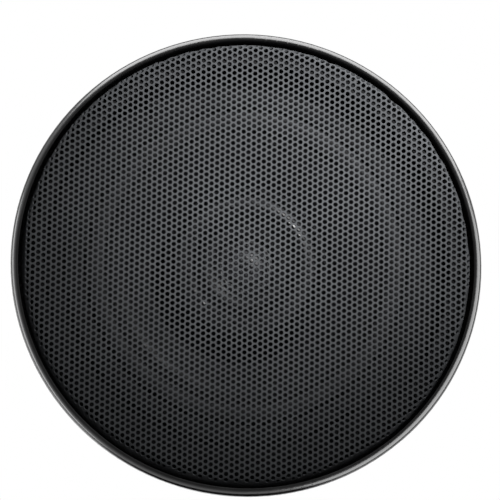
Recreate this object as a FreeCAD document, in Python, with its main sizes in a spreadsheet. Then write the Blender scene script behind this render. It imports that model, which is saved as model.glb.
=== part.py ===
"""A round pendant loudspeaker that hangs with its perforated grille facing down.

The document is drawn with the grille's outer face at z = 0 and +Z up, towards the hanger. Each
sub-part is then placed so that the centre of the hanger's main eye is the origin.
"""

import FreeCAD, Part
import math
import os
import Sketcher

V = FreeCAD.Vector

# Driving dimensions, in millimetres and degrees.
SIZES = {
    # Perforated steel grille and its anti-rattle ring
    "grille_sheet": 0.8,
    "grille_bend": 4.0,
    "skirt_length": 3.0,
    "skirt_fit": 0.15,
    "perforation_pitch": 14.5,
    "perforation_width": 7.8,
    "perforation_margin": 2.0,
    "grille_seal_thickness": 1.5,
    "grille_seal_width": 4.0,
    "grille_seal_inset": 1.2,
    # Front baffle with its rounded rim
    "rim_setback": 1.5,
    "rim_flat": 0.4,
    "rim_round": 2.7,
    "rim_band": 1.25,
    "shadow_line_place": 2.0,
    "shadow_line_width": 0.2,
    "shadow_line_depth": 0.3,
    "shadow_gap": 1.65,
    "groove_clearance": 0.4,
    "baffle_wall": 2.5,
    "spigot_depth": 4.0,
    "spigot_fit": 0.3,
    "ridge_width": 9.2,
    "ridge_chamfer": 3.0,
    "channel_wall": 2.5,
    "channel_sweep": 38.0,
    "rebate_clearance": 0.4,
    "seat_width": 11.0,
    "seat_thickness": 3.5,
    "baffle_screw_count": 6,
    "baffle_screw_length": 22.0,
    "boss_radius": 4.2,
    "boss_length": 12.0,
    "boss_gap": 0.2,
    # Screws of the baffle and the woofer
    "screw_radius": 2.0,
    "screw_head_radius": 3.5,
    "screw_head_height": 2.4,
    "screw_socket_radius": 1.4,
    "screw_socket_depth": 1.4,
    "screw_clearance": 0.25,
    "screw_cover": 0.4,
    # Tapered shell
    "seam_gap": 0.6,
    "seam_wall": 2.4,
    "seam_seal_inset": 0.4,
    "shell_wall": 3.0,
    "shell_height": 176.0,
    "shell_taper": 12.5,
    "spigot_room": 0.5,
    "shoulder_round": 18.0,
    "deck_thickness": 4.0,
    # Damping felt inside the shell
    "lining_thickness": 10.0,
    "lining_gap": 0.3,
    "lining_rise": 50.0,
    "lining_height": 70.0,
    # Woofer frame, seal and trim ring
    "frame_sheet": 1.3,
    "flange_width": 15.5,
    "frame_lip": 0.5,
    "frame_step": 8.9,
    "frame_foot": 18.0,
    "frame_windows": 6,
    "window_sweep": 44.0,
    "window_rim": 4.0,
    "woofer_seal_thickness": 1.5,
    "woofer_seal_inset": 0.6,
    "woofer_screw_count": 4,
    "woofer_screw_inset": 4.0,
    "woofer_screw_length": 12.0,
    "woofer_screw_angle": 61.0,
    "trim_height": 2.7,
    "trim_fit": 0.2,
    # Cone, surround, spider and voice coil
    "cone_radius": 57.5,
    "cone_rim": 3.5,
    "cone_depth": 24.0,
    "cone_skin": 0.8,
    "cone_bow": 160.0,
    "cone_collar": 4.5,
    "cone_travel": 4.0,
    "roll_room": 3.8,
    "roll_span": 10.0,
    "roll_ease": 0.6,
    "surround_skin": 0.8,
    "surround_landing": 4.0,
    "spider_depth": 31.5,
    "spider_radius": 39.5,
    "spider_ledge": 5.5,
    "spider_skin": 0.6,
    "spider_wave": 1.2,
    "spider_glue": 0.3,
    "former_bore": 13.0,
    "former_wall": 0.3,
    "winding_thickness": 0.7,
    "winding_length": 14.0,
    "coil_clearance": 0.35,
    # Woofer motor
    "plate_radius": 40.0,
    "plate_thickness": 6.0,
    "magnet_bore": 22.0,
    "magnet_radius": 45.0,
    "magnet_thickness": 15.0,
    "terminal_reach": 14.0,
    "terminal_breadth": 16.0,
    "terminal_board": 1.6,
    "terminal_lug_width": 4.8,
    "terminal_lug_sheet": 0.8,
    "terminal_lug_reach": 7.0,
    "terminal_lug_spacing": 9.0,
    # Tweeter on its post
    "post_radius": 4.0,
    "post_bore": 2.2,
    "post_fit": 0.1,
    "post_socket": 6.0,
    "post_boss_wall": 3.0,
    "post_tail": 8.0,
    "nut_radius": 7.0,
    "nut_thickness": 5.0,
    "tweeter_gap": 3.2,
    "waveguide_radius": 34.0,
    "waveguide_mouth": 25.0,
    "waveguide_lip": 0.8,
    "waveguide_height": 7.6,
    "waveguide_edge": 1.2,
    "waveguide_throat_gap": 0.4,
    "waveguide_throat_edge": 1.2,
    "waveguide_outer_bow": 14.0,
    "waveguide_dish_bow": 34.0,
    "dome_radius": 9.6,
    "dome_height": 3.6,
    "dome_skin": 0.4,
    "dome_roll": 2.2,
    "dome_roll_ease": 0.3,
    "dome_clamp": 1.2,
    "tweeter_coil_wall": 0.4,
    "tweeter_coil_length": 3.4,
    "tweeter_coil_gap": 0.3,
    "tweeter_yoke_base": 3.0,
    "tweeter_plate": 2.0,
    "tweeter_magnet": 4.5,
    "tweeter_magnet_inset": 0.6,
    "housing_fit": 0.2,
    "housing_wall": 2.5,
    "housing_flange": 6.5,
    "housing_flange_thickness": 1.8,
    # Crossover board and its components
    "board_length": 78.0,
    "board_breadth": 58.0,
    "board_thickness": 1.6,
    "board_drop": 30.0,
    "board_inset": 5.0,
    "board_boss_radius": 3.6,
    "board_screw_radius": 1.5,
    "board_screw_head": 3.0,
    "board_screw_head_height": 2.2,
    "board_screw_length": 9.0,
    "coil_radius": 11.0,
    "coil_bore": 5.0,
    "coil_height": 14.0,
    "coil_inset": 18.0,
    "coil_row": 13.5,
    "capacitor_radius": 6.5,
    "capacitor_length": 26.0,
    "capacitor_place": 4.0,
    "capacitor_row": 8.0,
    "resistor_length": 22.0,
    "resistor_side": 9.0,
    "component_spacing": 1.0,
    "component_gap": 0.1,
    # Terminal cup, header and plug on the deck
    "cup_place": 26.0,
    "cup_length": 32.0,
    "cup_breadth": 18.0,
    "cup_wall": 1.5,
    "cup_depth": 12.0,
    "cup_flange": 3.0,
    "cup_flange_thickness": 2.0,
    "cup_fit": 0.3,
    "cup_seal_thickness": 0.8,
    "header_length": 24.0,
    "header_breadth": 9.0,
    "header_height": 8.5,
    "header_wall": 0.9,
    "header_floor": 2.0,
    "plug_fit": 0.15,
    "plug_height": 15.0,
    "plug_pole_pitch": 5.08,
    "plug_entry_radius": 1.5,
    "plug_entry_depth": 6.0,
    "plug_screw_radius": 1.4,
    "plug_screw_depth": 2.0,
    "plug_screw_recess": 0.5,
    "plug_screw_drop": 3.5,
    "plug_screw_fit": 0.1,
    # Hanger with its main eye and two side eyes
    "hanger_length": 68.0,
    "hanger_breadth": 24.0,
    "hanger_base": 3.0,
    "hanger_corner": 5.0,
    "tab_thickness": 4.0,
    "tab_breadth": 40.0,
    "tab_shoulder": 15.0,
    "eye_height": 22.0,
    "eye_radius": 6.0,
    "eye_wall": 7.0,
    "side_eye_radius": 4.0,
    "side_eye_place": 13.0,
    "side_eye_height": 9.0,
    "bolt_place": 28.0,
    "bolt_radius": 3.0,
    "bolt_fit": 0.2,
    "bolt_head_radius": 5.2,
    "bolt_head_height": 3.6,
    "bolt_socket_radius": 2.0,
    "bolt_socket_depth": 2.0,
    "bolt_tail": 1.5,
    "bolt_nut_radius": 5.4,
    "bolt_nut_thickness": 5.0,
    "backing_thickness": 2.0,
}
ROLL_STEPS = 6
PERFORATION_SIDES = 8
FULL_TURN = 360.0

doc = FreeCAD.newDocument("pendant_speaker")
sheet = doc.addObject("Spreadsheet::Sheet", "dims")
derived = doc.addObject("App::VarSet", "derived")
nodes = []


class Size:
    """A number held with the sheet expression that gives it."""

    def __init__(self, number, text):
        self.number = float(number)
        self.text = text

    def __add__(self, other):
        other = as_size(other)
        return Size(self.number + other.number, f"({self.text} + {other.text})")

    def __sub__(self, other):
        other = as_size(other)
        return Size(self.number - other.number, f"({self.text} - {other.text})")

    def __mul__(self, other):
        other = as_size(other)
        return Size(self.number * other.number, f"({self.text} * {other.text})")

    def __truediv__(self, other):
        other = as_size(other)
        return Size(self.number / other.number, f"({self.text} / {other.text})")

    def __radd__(self, other):
        return as_size(other) + self

    def __rsub__(self, other):
        return as_size(other) - self

    def __rmul__(self, other):
        return as_size(other) * self

    def __rtruediv__(self, other):
        return as_size(other) / self

    def __neg__(self):
        return as_size(0) - self


def as_size(value):
    """A plain number as a Size, and a Size as it is."""
    return value if isinstance(value, Size) else Size(value, repr(value))


def root(size):
    return Size(math.sqrt(size.number), f"sqrt({size.text})")


def tangent(size):
    return Size(math.tan(math.radians(size.number)), f"tan({size.text} * 1 deg)")


def sine(size):
    return Size(math.sin(math.radians(size.number)), f"sin({size.text} * 1 deg)")


def cosine(size):
    return Size(math.cos(math.radians(size.number)), f"cos({size.text} * 1 deg)")


class Sheet:
    """The driving dimensions, read by name."""

    def __init__(self):
        for row, (alias, number) in enumerate(SIZES.items(), start=1):
            sheet.set(f"A{row}", alias)
            sheet.set(f"B{row}", str(number))
            sheet.setAlias(f"B{row}", alias)
        doc.recompute()

    def __getattr__(self, alias):
        return Size(SIZES[alias], f"dims.{alias}")


d = Sheet()


def derive(name, size):
    """Keeps a worked-out size in the document under its own name."""
    derived.addProperty("App::PropertyFloat", name)
    derived.setExpression(name, size.text)
    return Size(size.number, f"derived.{name}")


class Arc:
    """In an outline, makes the next edge an arc that turns left (1) or right (-1)."""

    def __init__(self, radius, turn):
        self.radius = as_size(radius)
        self.turn = turn


def arc_between(start, stop, radius, turn):
    """The shorter arc of a radius from start to stop, as sketch geometry."""
    middle = (start + stop) * 0.5
    chord = stop - start
    rise = math.sqrt(radius * radius - chord.Length * chord.Length / 4)
    side = V(-chord.y, chord.x, 0).normalize() * (turn * rise)
    centre = middle + side
    first, last = (start, stop) if turn > 0 else (stop, start)
    low = math.atan2(first.y - centre.y, first.x - centre.x)
    high = math.atan2(last.y - centre.y, last.x - centre.x)
    if high < low:
        high += 2 * math.pi
    return Part.ArcOfCircle(Part.Circle(centre, V(0, 0, 1), radius), low, high)


def bind(sketch, constraint, size):
    index = sketch.addConstraint(constraint)
    sketch.setExpression(f"Constraints[{index}]", size.text)


def fix_point(sketch, geometry, point, x, y):
    """Ties a point of a sketch to two sizes measured from the sketch's origin."""
    for kind, axis, size in (("DistanceX", -2, x), ("DistanceY", -1, y)):
        if size.number == 0:
            sketch.addConstraint(Sketcher.Constraint("PointOnObject", geometry, point, axis))
        else:
            bind(sketch, Sketcher.Constraint(kind, -1, 1, geometry, point, size.number), size)


def outline(sketch, *steps):
    """Draws a closed outline through corners (x, y), with an Arc between two where it is round."""
    corners = []
    arcs = {}
    for step in steps:
        if isinstance(step, Arc):
            arcs[len(corners) - 1] = step
        else:
            corners.append((as_size(step[0]), as_size(step[1])))
    count = len(corners)
    first = sketch.GeometryCount
    ends = []
    for index, corner in enumerate(corners):
        following = corners[(index + 1) % count]
        start = V(corner[0].number, corner[1].number, 0)
        stop = V(following[0].number, following[1].number, 0)
        arc = arcs.get(index)
        if arc is None:
            sketch.addGeometry(Part.LineSegment(start, stop), False)
            ends.append((1, 2))
        else:
            sketch.addGeometry(arc_between(start, stop, arc.radius.number, arc.turn), False)
            ends.append((1, 2) if arc.turn > 0 else (2, 1))
    for index in range(count):
        after = (index + 1) % count
        joint = Sketcher.Constraint(
            "Coincident", first + index, ends[index][1], first + after, ends[after][0]
        )
        sketch.addConstraint(joint)
    for index, (x, y) in enumerate(corners):
        fix_point(sketch, first + index, ends[index][0], x, y)
    for index, arc in arcs.items():
        bind(sketch, Sketcher.Constraint("Radius", first + index, arc.radius.number), arc.radius)


def ring(sketch, x, y, radius):
    """Draws a circle whose centre and radius are tied to sizes."""
    x = as_size(x)
    y = as_size(y)
    index = sketch.addGeometry(Part.Circle(V(x.number, y.number, 0), V(0, 0, 1), radius.number), False)
    fix_point(sketch, index, 3, x, y)
    bind(sketch, Sketcher.Constraint("Radius", index, radius.number), radius)


def rectangle(sketch, x, y, length, breadth):
    """Draws a rectangle about a centre."""
    left = x - length / 2
    right = x + length / 2
    front = y - breadth / 2
    back = y + breadth / 2
    outline(sketch, (left, front), (right, front), (right, back), (left, back))


def node(piece, label):
    """Names a sub-part, places it about the main eye and lists it for export."""
    piece.Label = label
    piece.setExpression("Placement.Base.z", (-eye_level).text)
    nodes.append(piece)
    return piece


def origin_feature(body, role):
    return next(f for f in body.Origin.OriginFeatures if f.Role == role)


def new_body(label):
    return node(doc.addObject("PartDesign::Body", label), label)


def new_sketch(body, role, lift=None, turn=None):
    """A sketch on one of the body's own planes, lifted along its normal or turned about Z."""
    sketch = body.newObject("Sketcher::SketchObject", f"{body.Label}_sketch")
    sketch.AttachmentSupport = [(origin_feature(body, role), "")]
    sketch.MapMode = "FlatFace"
    if lift is not None:
        sketch.setExpression("AttachmentOffset.Base.z", lift.text)
    if turn is not None:
        sketch.AttachmentOffset = FreeCAD.Placement(V(), FreeCAD.Rotation(V(0, 1, 0), turn.number))
        sketch.setExpression("AttachmentOffset.Rotation.Angle", turn.text)
    return sketch


def feature(body, kind, sketch):
    made = body.newObject(f"PartDesign::{kind}", f"{body.Label}_{kind}")
    made.Profile = sketch
    return made


def around(body, made, count):
    """Repeats a feature evenly about the body's Z axis."""
    pattern = body.newObject("PartDesign::PolarPattern", f"{body.Label}_pattern")
    pattern.Originals = [made]
    pattern.Axis = (origin_feature(body, "Z_Axis"), [""])
    pattern.Angle = FULL_TURN
    pattern.Occurrences = int(count.number)
    pattern.setExpression("Occurrences", count.text)
    body.Tip = pattern
    doc.recompute()


def turned(label, *steps):
    """A body of revolution about Z from its half outline (radius, height)."""
    body = new_body(label)
    sketch = new_sketch(body, "XZ_Plane")
    outline(sketch, *steps)
    made = feature(body, "Revolution", sketch)
    made.ReferenceAxis = (sketch, ["V_Axis"])
    made.Angle = FULL_TURN
    doc.recompute()
    return body


def padded(body, sketch, length, reverse=False, symmetric=False):
    made = feature(body, "Pad", sketch)
    made.SideType = "Symmetric" if symmetric else "One side"
    made.Reversed = reverse
    made.setExpression("Length", length.text)
    doc.recompute()
    return made


def pocketed(body, sketch, length):
    """Cuts a sketch into the body for a length along the sketch's normal."""
    made = feature(body, "Pocket", sketch)
    made.Reversed = True
    made.setExpression("Length", length.text)
    doc.recompute()
    return made


def drilled(body, x, y, radius, low, high):
    """Drills one hole along Z between two heights."""
    sketch = new_sketch(body, "XY_Plane", low)
    ring(sketch, x, y, radius)
    return pocketed(body, sketch, high - low)


def rounded(body, radius, *rims):
    """Rounds the circular edges that lie at the given (radius, height) pairs."""
    base = body.Tip
    found = []
    for number, edge in enumerate(base.Shape.Edges, start=1):
        curve = edge.Curve
        if not isinstance(curve, Part.Circle):
            continue
        for rim_radius, height in rims:
            if abs(curve.Radius - rim_radius.number) < 1e-3 and abs(curve.Center.z - height.number) < 1e-3:
                found.append(f"Edge{number}")
    made = body.newObject("PartDesign::Fillet", f"{body.Label}_round")
    made.Base = (base, found)
    made.setExpression("Radius", radius.text)
    body.Tip = made
    doc.recompute()


def fasteners(label, circle, count, *steps):
    """A ring of alike turned fasteners: each outline is (radius from its own axis, height)."""
    body = new_body(label)
    sketch = new_sketch(body, "XZ_Plane")
    outline(sketch, *[(circle + step[0], step[1]) for step in steps])
    low = as_size(steps[0][1])
    axis = sketch.addGeometry(Part.LineSegment(V(circle.number, 0, 0), V(circle.number, 1, 0)), True)
    sketch.addConstraint(Sketcher.Constraint("Vertical", axis))
    sketch.addConstraint(Sketcher.Constraint("PointOnObject", axis, 1, -1))
    bind(sketch, Sketcher.Constraint("DistanceX", -1, 1, axis, 1, circle.number), circle)
    bind(sketch, Sketcher.Constraint("DistanceY", axis, 1, axis, 2, low.number), low)
    made = feature(body, "Revolution", sketch)
    made.ReferenceAxis = (sketch, ["Axis0"])
    made.Angle = FULL_TURN
    doc.recompute()
    around(body, made, count)
    return body


def screw_outline(low, head_radius, head, radius, length, socket_radius, socket_depth):
    """Half outline of a screw that points up from a head standing at a height, with a socket."""
    return (
        (0, low + socket_depth),
        (socket_radius, low + socket_depth),
        (socket_radius, low),
        (head_radius, low),
        (head_radius, low + head),
        (radius, low + head),
        (radius, low + head + length),
        (0, low + head + length),
    )


def block(length, breadth, height, x, y, z):
    """A box centred on (x, y) that stands on height z."""
    made = doc.addObject("Part::Box", "block")
    for name, size in (("Length", length), ("Width", breadth), ("Height", height)):
        made.setExpression(name, size.text)
    for name, size in (("x", x - length / 2), ("y", y - breadth / 2), ("z", as_size(z))):
        made.setExpression(f"Placement.Base.{name}", size.text)
    return made


def rod(radius, length, x, y, z, along="z"):
    """A round rod from (x, y, z) along an axis."""
    made = doc.addObject("Part::Cylinder", "rod")
    made.setExpression("Radius", radius.text)
    made.setExpression("Height", length.text)
    turn = {"z": (V(0, 0, 1), 0), "x": (V(0, 1, 0), 90), "y": (V(1, 0, 0), -90)}[along]
    made.Placement = FreeCAD.Placement(V(), FreeCAD.Rotation(turn[0], turn[1]))
    for name, size in (("x", x), ("y", y), ("z", z)):
        made.setExpression(f"Placement.Base.{name}", as_size(size).text)
    return made


def cut(base, *tools):
    for tool in tools:
        made = doc.addObject("Part::Cut", "cut")
        made.Base = base
        made.Tool = tool
        base = made
    return base


def joined(*pieces):
    made = doc.addObject("Part::MultiFuse", "fuse")
    made.Shapes = list(pieces)
    return made


def group(label, *pieces):
    """Several separate solids kept as one sub-part."""
    made = doc.addObject("Part::Compound", label)
    made.Links = list(pieces)
    return node(made, label)


# Radii, from the voice coil out to the rim
former_radius = derive("former_radius", d.former_bore + d.former_wall)
winding_radius = derive("winding_radius", former_radius + d.winding_thickness)
roll_radius_out = derive("roll_radius_out", d.cone_radius + d.roll_span)
roll_middle = derive("roll_middle", d.cone_radius + d.roll_span / 2)
flange_radius = derive("flange_radius", roll_radius_out + d.flange_width)
woofer_screw_circle = derive("woofer_screw_circle", flange_radius - d.woofer_screw_inset)
rebate_radius = derive("rebate_radius", flange_radius + d.rebate_clearance)
cutout_radius = derive("cutout_radius", flange_radius - d.seat_width)
ridge_radius = derive("ridge_radius", rebate_radius + d.ridge_width)
baffle_screw_circle = derive("baffle_screw_circle", rebate_radius + d.ridge_width / 2)
skirt_inner = derive("skirt_inner", ridge_radius + d.skirt_fit)
skirt_outer = derive("skirt_outer", skirt_inner + d.grille_sheet)
grille_flat = derive("grille_flat", skirt_outer - d.grille_bend)
rim_inner = derive("rim_inner", skirt_outer + d.shadow_gap)
rim_outer = derive("rim_outer", rim_inner + d.rim_flat + d.rim_round)
line_outer = derive("line_outer", d.shadow_line_place + d.shadow_line_width)

# Heights above the grille's outer face
ridge_top = derive("ridge_top", d.grille_sheet + d.grille_seal_thickness)
skirt_end = derive("skirt_end", d.grille_bend + d.skirt_length)
groove_floor = derive("groove_floor", skirt_end + d.groove_clearance)
seam = derive("seam", groove_floor + d.baffle_wall)
shell_front = derive("shell_front", seam + d.seam_gap)
rim_side = derive("rim_side", d.rim_setback + d.rim_round)
line_inner_drop = root(d.rim_round * d.rim_round - d.shadow_line_place * d.shadow_line_place)
line_inner_level = derive("line_inner_level", rim_side - line_inner_drop)
line_outer_drop = root(d.rim_round * d.rim_round - line_outer * line_outer)
line_outer_level = derive("line_outer_level", rim_side - line_outer_drop)
taper_start = derive("taper_start", rim_side + d.rim_band)
roll_radius = derive("roll_radius", d.roll_span / 2 + d.roll_ease)
roll_drop = derive("roll_drop", root(roll_radius * roll_radius - d.roll_span * d.roll_span / 4))
roll_rise = derive("roll_rise", roll_radius - roll_drop)
roll_crest = derive("roll_crest", d.grille_sheet + d.roll_room + d.cone_travel)
flange_front = derive("flange_front", roll_crest + roll_rise + d.surround_skin)
flange_back = derive("flange_back", flange_front + d.frame_sheet)
rebate_floor = derive("rebate_floor", flange_back + d.woofer_seal_thickness)
baffle_back = derive("baffle_back", rebate_floor + d.seat_thickness)
ledge = derive("ledge", flange_front + d.spider_depth)
plate_front = derive("plate_front", ledge + d.frame_step)
plate_back = derive("plate_back", plate_front + d.plate_thickness)
magnet_back = derive("magnet_back", plate_back + d.magnet_thickness)
yoke_back = derive("yoke_back", magnet_back + d.plate_thickness)
tweeter_front = derive("tweeter_front", d.grille_sheet + d.tweeter_gap)
clamp_front = derive("clamp_front", tweeter_front + d.waveguide_height)
deck_top = derive("deck_top", shell_front + d.shell_height)
deck_under = derive("deck_under", deck_top - d.deck_thickness)
board_top = derive("board_top", deck_under - d.board_drop)
board_under = derive("board_under", board_top - d.board_thickness)
eye_level = derive("eye_level", deck_top + d.hanger_base + d.eye_height)


def shell_radius(height):
    """Outer radius of the tapered wall, of the rim and then the shell, at a height."""
    return rim_outer - (height - taper_start) * tangent(d.shell_taper)


seam_inner = derive("seam_inner", shell_radius(shell_front) - d.seam_wall)
baffle_back_radius = derive(
    "baffle_back_radius", shell_radius(baffle_back) - d.shell_wall - d.spigot_fit
)
deck_radius = derive("deck_radius", shell_radius(deck_top))
deck_inner = derive("deck_inner", shell_radius(deck_under) - d.shell_wall)

# Curves of the surround's roll and the tweeter's dome, and the tweeter's stack of plates
roll_skin = derive("roll_skin", roll_radius - d.surround_skin)
roll_skin_drop = derive("roll_skin_drop", roll_drop - d.surround_skin)
roll_half_back = derive("roll_half_back", root(roll_skin * roll_skin - roll_skin_drop * roll_skin_drop))
dome_square = derive("dome_square", d.dome_radius * d.dome_radius + d.dome_height * d.dome_height)
dome_bow = derive("dome_bow", dome_square / (2 * d.dome_height))
dome_roll_bow = derive("dome_roll_bow", d.dome_roll / 2 + d.dome_roll_ease)
dome_edge = derive("dome_edge", d.dome_radius + d.dome_roll)
throat_radius = derive("throat_radius", dome_edge + d.waveguide_throat_gap)
clamp_radius = derive("clamp_radius", throat_radius + d.dome_clamp)
clamp_back = derive("clamp_back", clamp_front + d.dome_skin)
plate_end = derive("plate_end", clamp_back + 2 * d.tweeter_plate)
magnet_end = derive("magnet_end", plate_end + d.tweeter_magnet)
yoke_end = derive("yoke_end", magnet_end + d.tweeter_yoke_base)
doc.recompute()


def perforations():
    """Edges of the staggered eight-sided perforations, with three of them about the centre."""
    pitch = d.perforation_pitch.number
    reach = d.perforation_width.number / 2
    edge = grille_flat.number - d.perforation_margin.number - reach
    column_pitch = pitch * math.sqrt(3) / 2
    columns = int(edge / column_pitch) + 1
    rows = int(edge / pitch) + 1
    edges = []
    for column in range(-columns, columns + 1):
        for row in range(-rows, rows + 1):
            centre = V((column - 2 / 3) * column_pitch, (row + (column % 2) / 2) * pitch, 0)
            if centre.Length > edge:
                continue
            turns = [2 * math.pi * (side + 0.5) / PERFORATION_SIDES for side in range(PERFORATION_SIDES)]
            corners = [centre + V(math.cos(turn), math.sin(turn), 0) * reach for turn in turns]
            edges += [Part.LineSegment(corners[i - 1], corners[i]) for i in range(PERFORATION_SIDES)]
    return edges


def make_grille():
    """The folded pan with staggered perforations and the foam ring that stops it rattling."""
    grille = turned(
        "grille",
        (grille_flat, 0),
        Arc(d.grille_bend, 1),
        (skirt_outer, d.grille_bend),
        (skirt_outer, skirt_end),
        (skirt_inner, skirt_end),
        (skirt_inner, d.grille_bend),
        Arc(d.grille_bend - d.grille_sheet, -1),
        (grille_flat, d.grille_sheet),
    )
    sketch = new_sketch(grille, "XY_Plane")
    ring(sketch, 0, 0, grille_flat)
    sketch.addGeometry(perforations(), False)
    padded(grille, sketch, d.grille_sheet)
    seal_inner = rebate_radius + d.grille_seal_inset
    turned(
        "grille_seal",
        (seal_inner, d.grille_sheet),
        (seal_inner + d.grille_seal_width, d.grille_sheet),
        (seal_inner + d.grille_seal_width, ridge_top),
        (seal_inner, ridge_top),
    )


def make_baffle():
    """The front baffle with its rim, the groove for the grille and the woofer's rebate."""
    spigot_radius = seam_inner - d.spigot_fit
    spigot_end = seam + d.spigot_depth
    rim_start = rim_inner + d.rim_flat
    line_floor = line_outer_level + d.shadow_line_depth
    baffle = turned(
        "front_baffle",
        (cutout_radius, rebate_floor),
        (rebate_radius, rebate_floor),
        (rebate_radius, ridge_top),
        (ridge_radius - d.ridge_chamfer, ridge_top),
        (ridge_radius, ridge_top + d.ridge_chamfer),
        (ridge_radius, groove_floor),
        (rim_inner, groove_floor),
        (rim_inner, d.rim_setback),
        (rim_start, d.rim_setback),
        Arc(d.rim_round, 1),
        (rim_start + d.shadow_line_place, line_inner_level),
        (rim_start + d.shadow_line_place, line_floor),
        (rim_start + line_outer, line_floor),
        (rim_start + line_outer, line_outer_level),
        Arc(d.rim_round, 1),
        (rim_outer, rim_side),
        (rim_outer, taper_start),
        (shell_radius(seam), seam),
        (spigot_radius, seam),
        (spigot_radius, spigot_end),
        (ridge_radius, spigot_end),
        (baffle_back_radius, baffle_back),
        (cutout_radius, baffle_back),
    )
    half_step = FULL_TURN / 2 / d.baffle_screw_count
    channel = new_sketch(baffle, "XZ_Plane", turn=half_step)
    channel_in = rebate_radius + d.channel_wall
    channel_out = ridge_radius - d.channel_wall
    channel_top = ridge_top + d.ridge_chamfer + d.channel_wall
    outline(
        channel,
        (channel_in, channel_top),
        (channel_out, channel_top),
        (channel_out, baffle_back),
        (channel_in, baffle_back),
    )
    made = feature(baffle, "Groove", channel)
    made.ReferenceAxis = (channel, ["V_Axis"])
    made.Midplane = True
    made.setExpression("Angle", d.channel_sweep.text)
    doc.recompute()
    around(baffle, made, d.baffle_screw_count)
    seat = ridge_top + d.screw_cover + d.screw_head_height
    hole = d.screw_radius + d.screw_clearance
    sink = d.screw_head_radius + d.screw_clearance
    made = drilled(baffle, baffle_screw_circle, 0, sink, ridge_top, seat)
    around(baffle, made, d.baffle_screw_count)
    made = drilled(baffle, baffle_screw_circle, 0, hole, seat, baffle_back)
    around(baffle, made, d.baffle_screw_count)
    x = woofer_screw_circle * cosine(d.woofer_screw_angle)
    y = woofer_screw_circle * sine(d.woofer_screw_angle)
    made = drilled(baffle, x, y, hole, rebate_floor, baffle_back)
    around(baffle, made, d.woofer_screw_count)
    fasteners(
        "baffle_screws",
        baffle_screw_circle,
        d.baffle_screw_count,
        *screw_outline(
            ridge_top + d.screw_cover,
            d.screw_head_radius,
            d.screw_head_height,
            d.screw_radius,
            d.baffle_screw_length,
            d.screw_socket_radius,
            d.screw_socket_depth,
        ),
    )
    turned(
        "baffle_seal",
        (seam_inner, seam),
        (shell_radius(shell_front) - d.seam_seal_inset, seam),
        (shell_radius(shell_front) - d.seam_seal_inset, shell_front),
        (seam_inner, shell_front),
    )


def make_shell():
    """The tapered shell with its deck, the bosses inside and the felt that lines it."""
    step = shell_front + d.spigot_depth + d.spigot_room
    shell = turned(
        "enclosure_shell",
        (shell_radius(shell_front), shell_front),
        (deck_radius, deck_top),
        (0, deck_top),
        (0, deck_under),
        (deck_inner, deck_under),
        (shell_radius(step) - d.shell_wall, step),
        (seam_inner, step),
        (seam_inner, shell_front),
    )
    rounded(shell, d.shoulder_round, (deck_radius, deck_top))
    rounded(shell, d.shoulder_round - d.shell_wall, (deck_inner, deck_under))
    boss_foot = baffle_back + d.boss_gap
    sketch = new_sketch(shell, "XY_Plane", boss_foot)
    ring(sketch, baffle_screw_circle, 0, d.boss_radius)
    made = padded(shell, sketch, d.boss_length)
    around(shell, made, d.baffle_screw_count)
    made = drilled(
        shell, baffle_screw_circle, 0, d.screw_radius + d.screw_clearance, boss_foot, boss_foot + d.boss_length
    )
    around(shell, made, d.baffle_screw_count)
    sketch = new_sketch(shell, "XY_Plane", board_top)
    for x, y in board_corners():
        ring(sketch, x, y, d.board_boss_radius)
    padded(shell, sketch, d.board_drop + d.deck_thickness / 2)
    sketch = new_sketch(shell, "XY_Plane", board_top)
    for x, y in board_corners():
        ring(sketch, x, y, d.board_screw_radius + d.screw_clearance)
    pocketed(shell, sketch, d.board_screw_length)
    sketch = new_sketch(shell, "XY_Plane", deck_under)
    for side in (-1, 1):
        ring(sketch, d.bolt_place * side, 0, d.bolt_radius + d.bolt_fit)
    rectangle(
        sketch, as_size(0), d.cup_place, d.cup_length + 2 * d.cup_fit, d.cup_breadth + 2 * d.cup_fit
    )
    pocketed(shell, sketch, d.deck_thickness)
    low = shell_front + d.lining_rise
    high = low + d.lining_height
    wall_low = shell_radius(low) - d.shell_wall - d.lining_gap
    wall_high = shell_radius(high) - d.shell_wall - d.lining_gap
    turned(
        "damping_lining",
        (wall_low, low),
        (wall_high, high),
        (wall_high - d.lining_thickness, high),
        (wall_low - d.lining_thickness, low),
    )


def board_corners():
    """Places of the four screws that hold the crossover board."""
    x = d.board_length / 2 - d.board_inset
    y = d.board_breadth / 2 - d.board_inset
    return [(x * i, y * j) for i in (-1, 1) for j in (-1, 1)]


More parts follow.
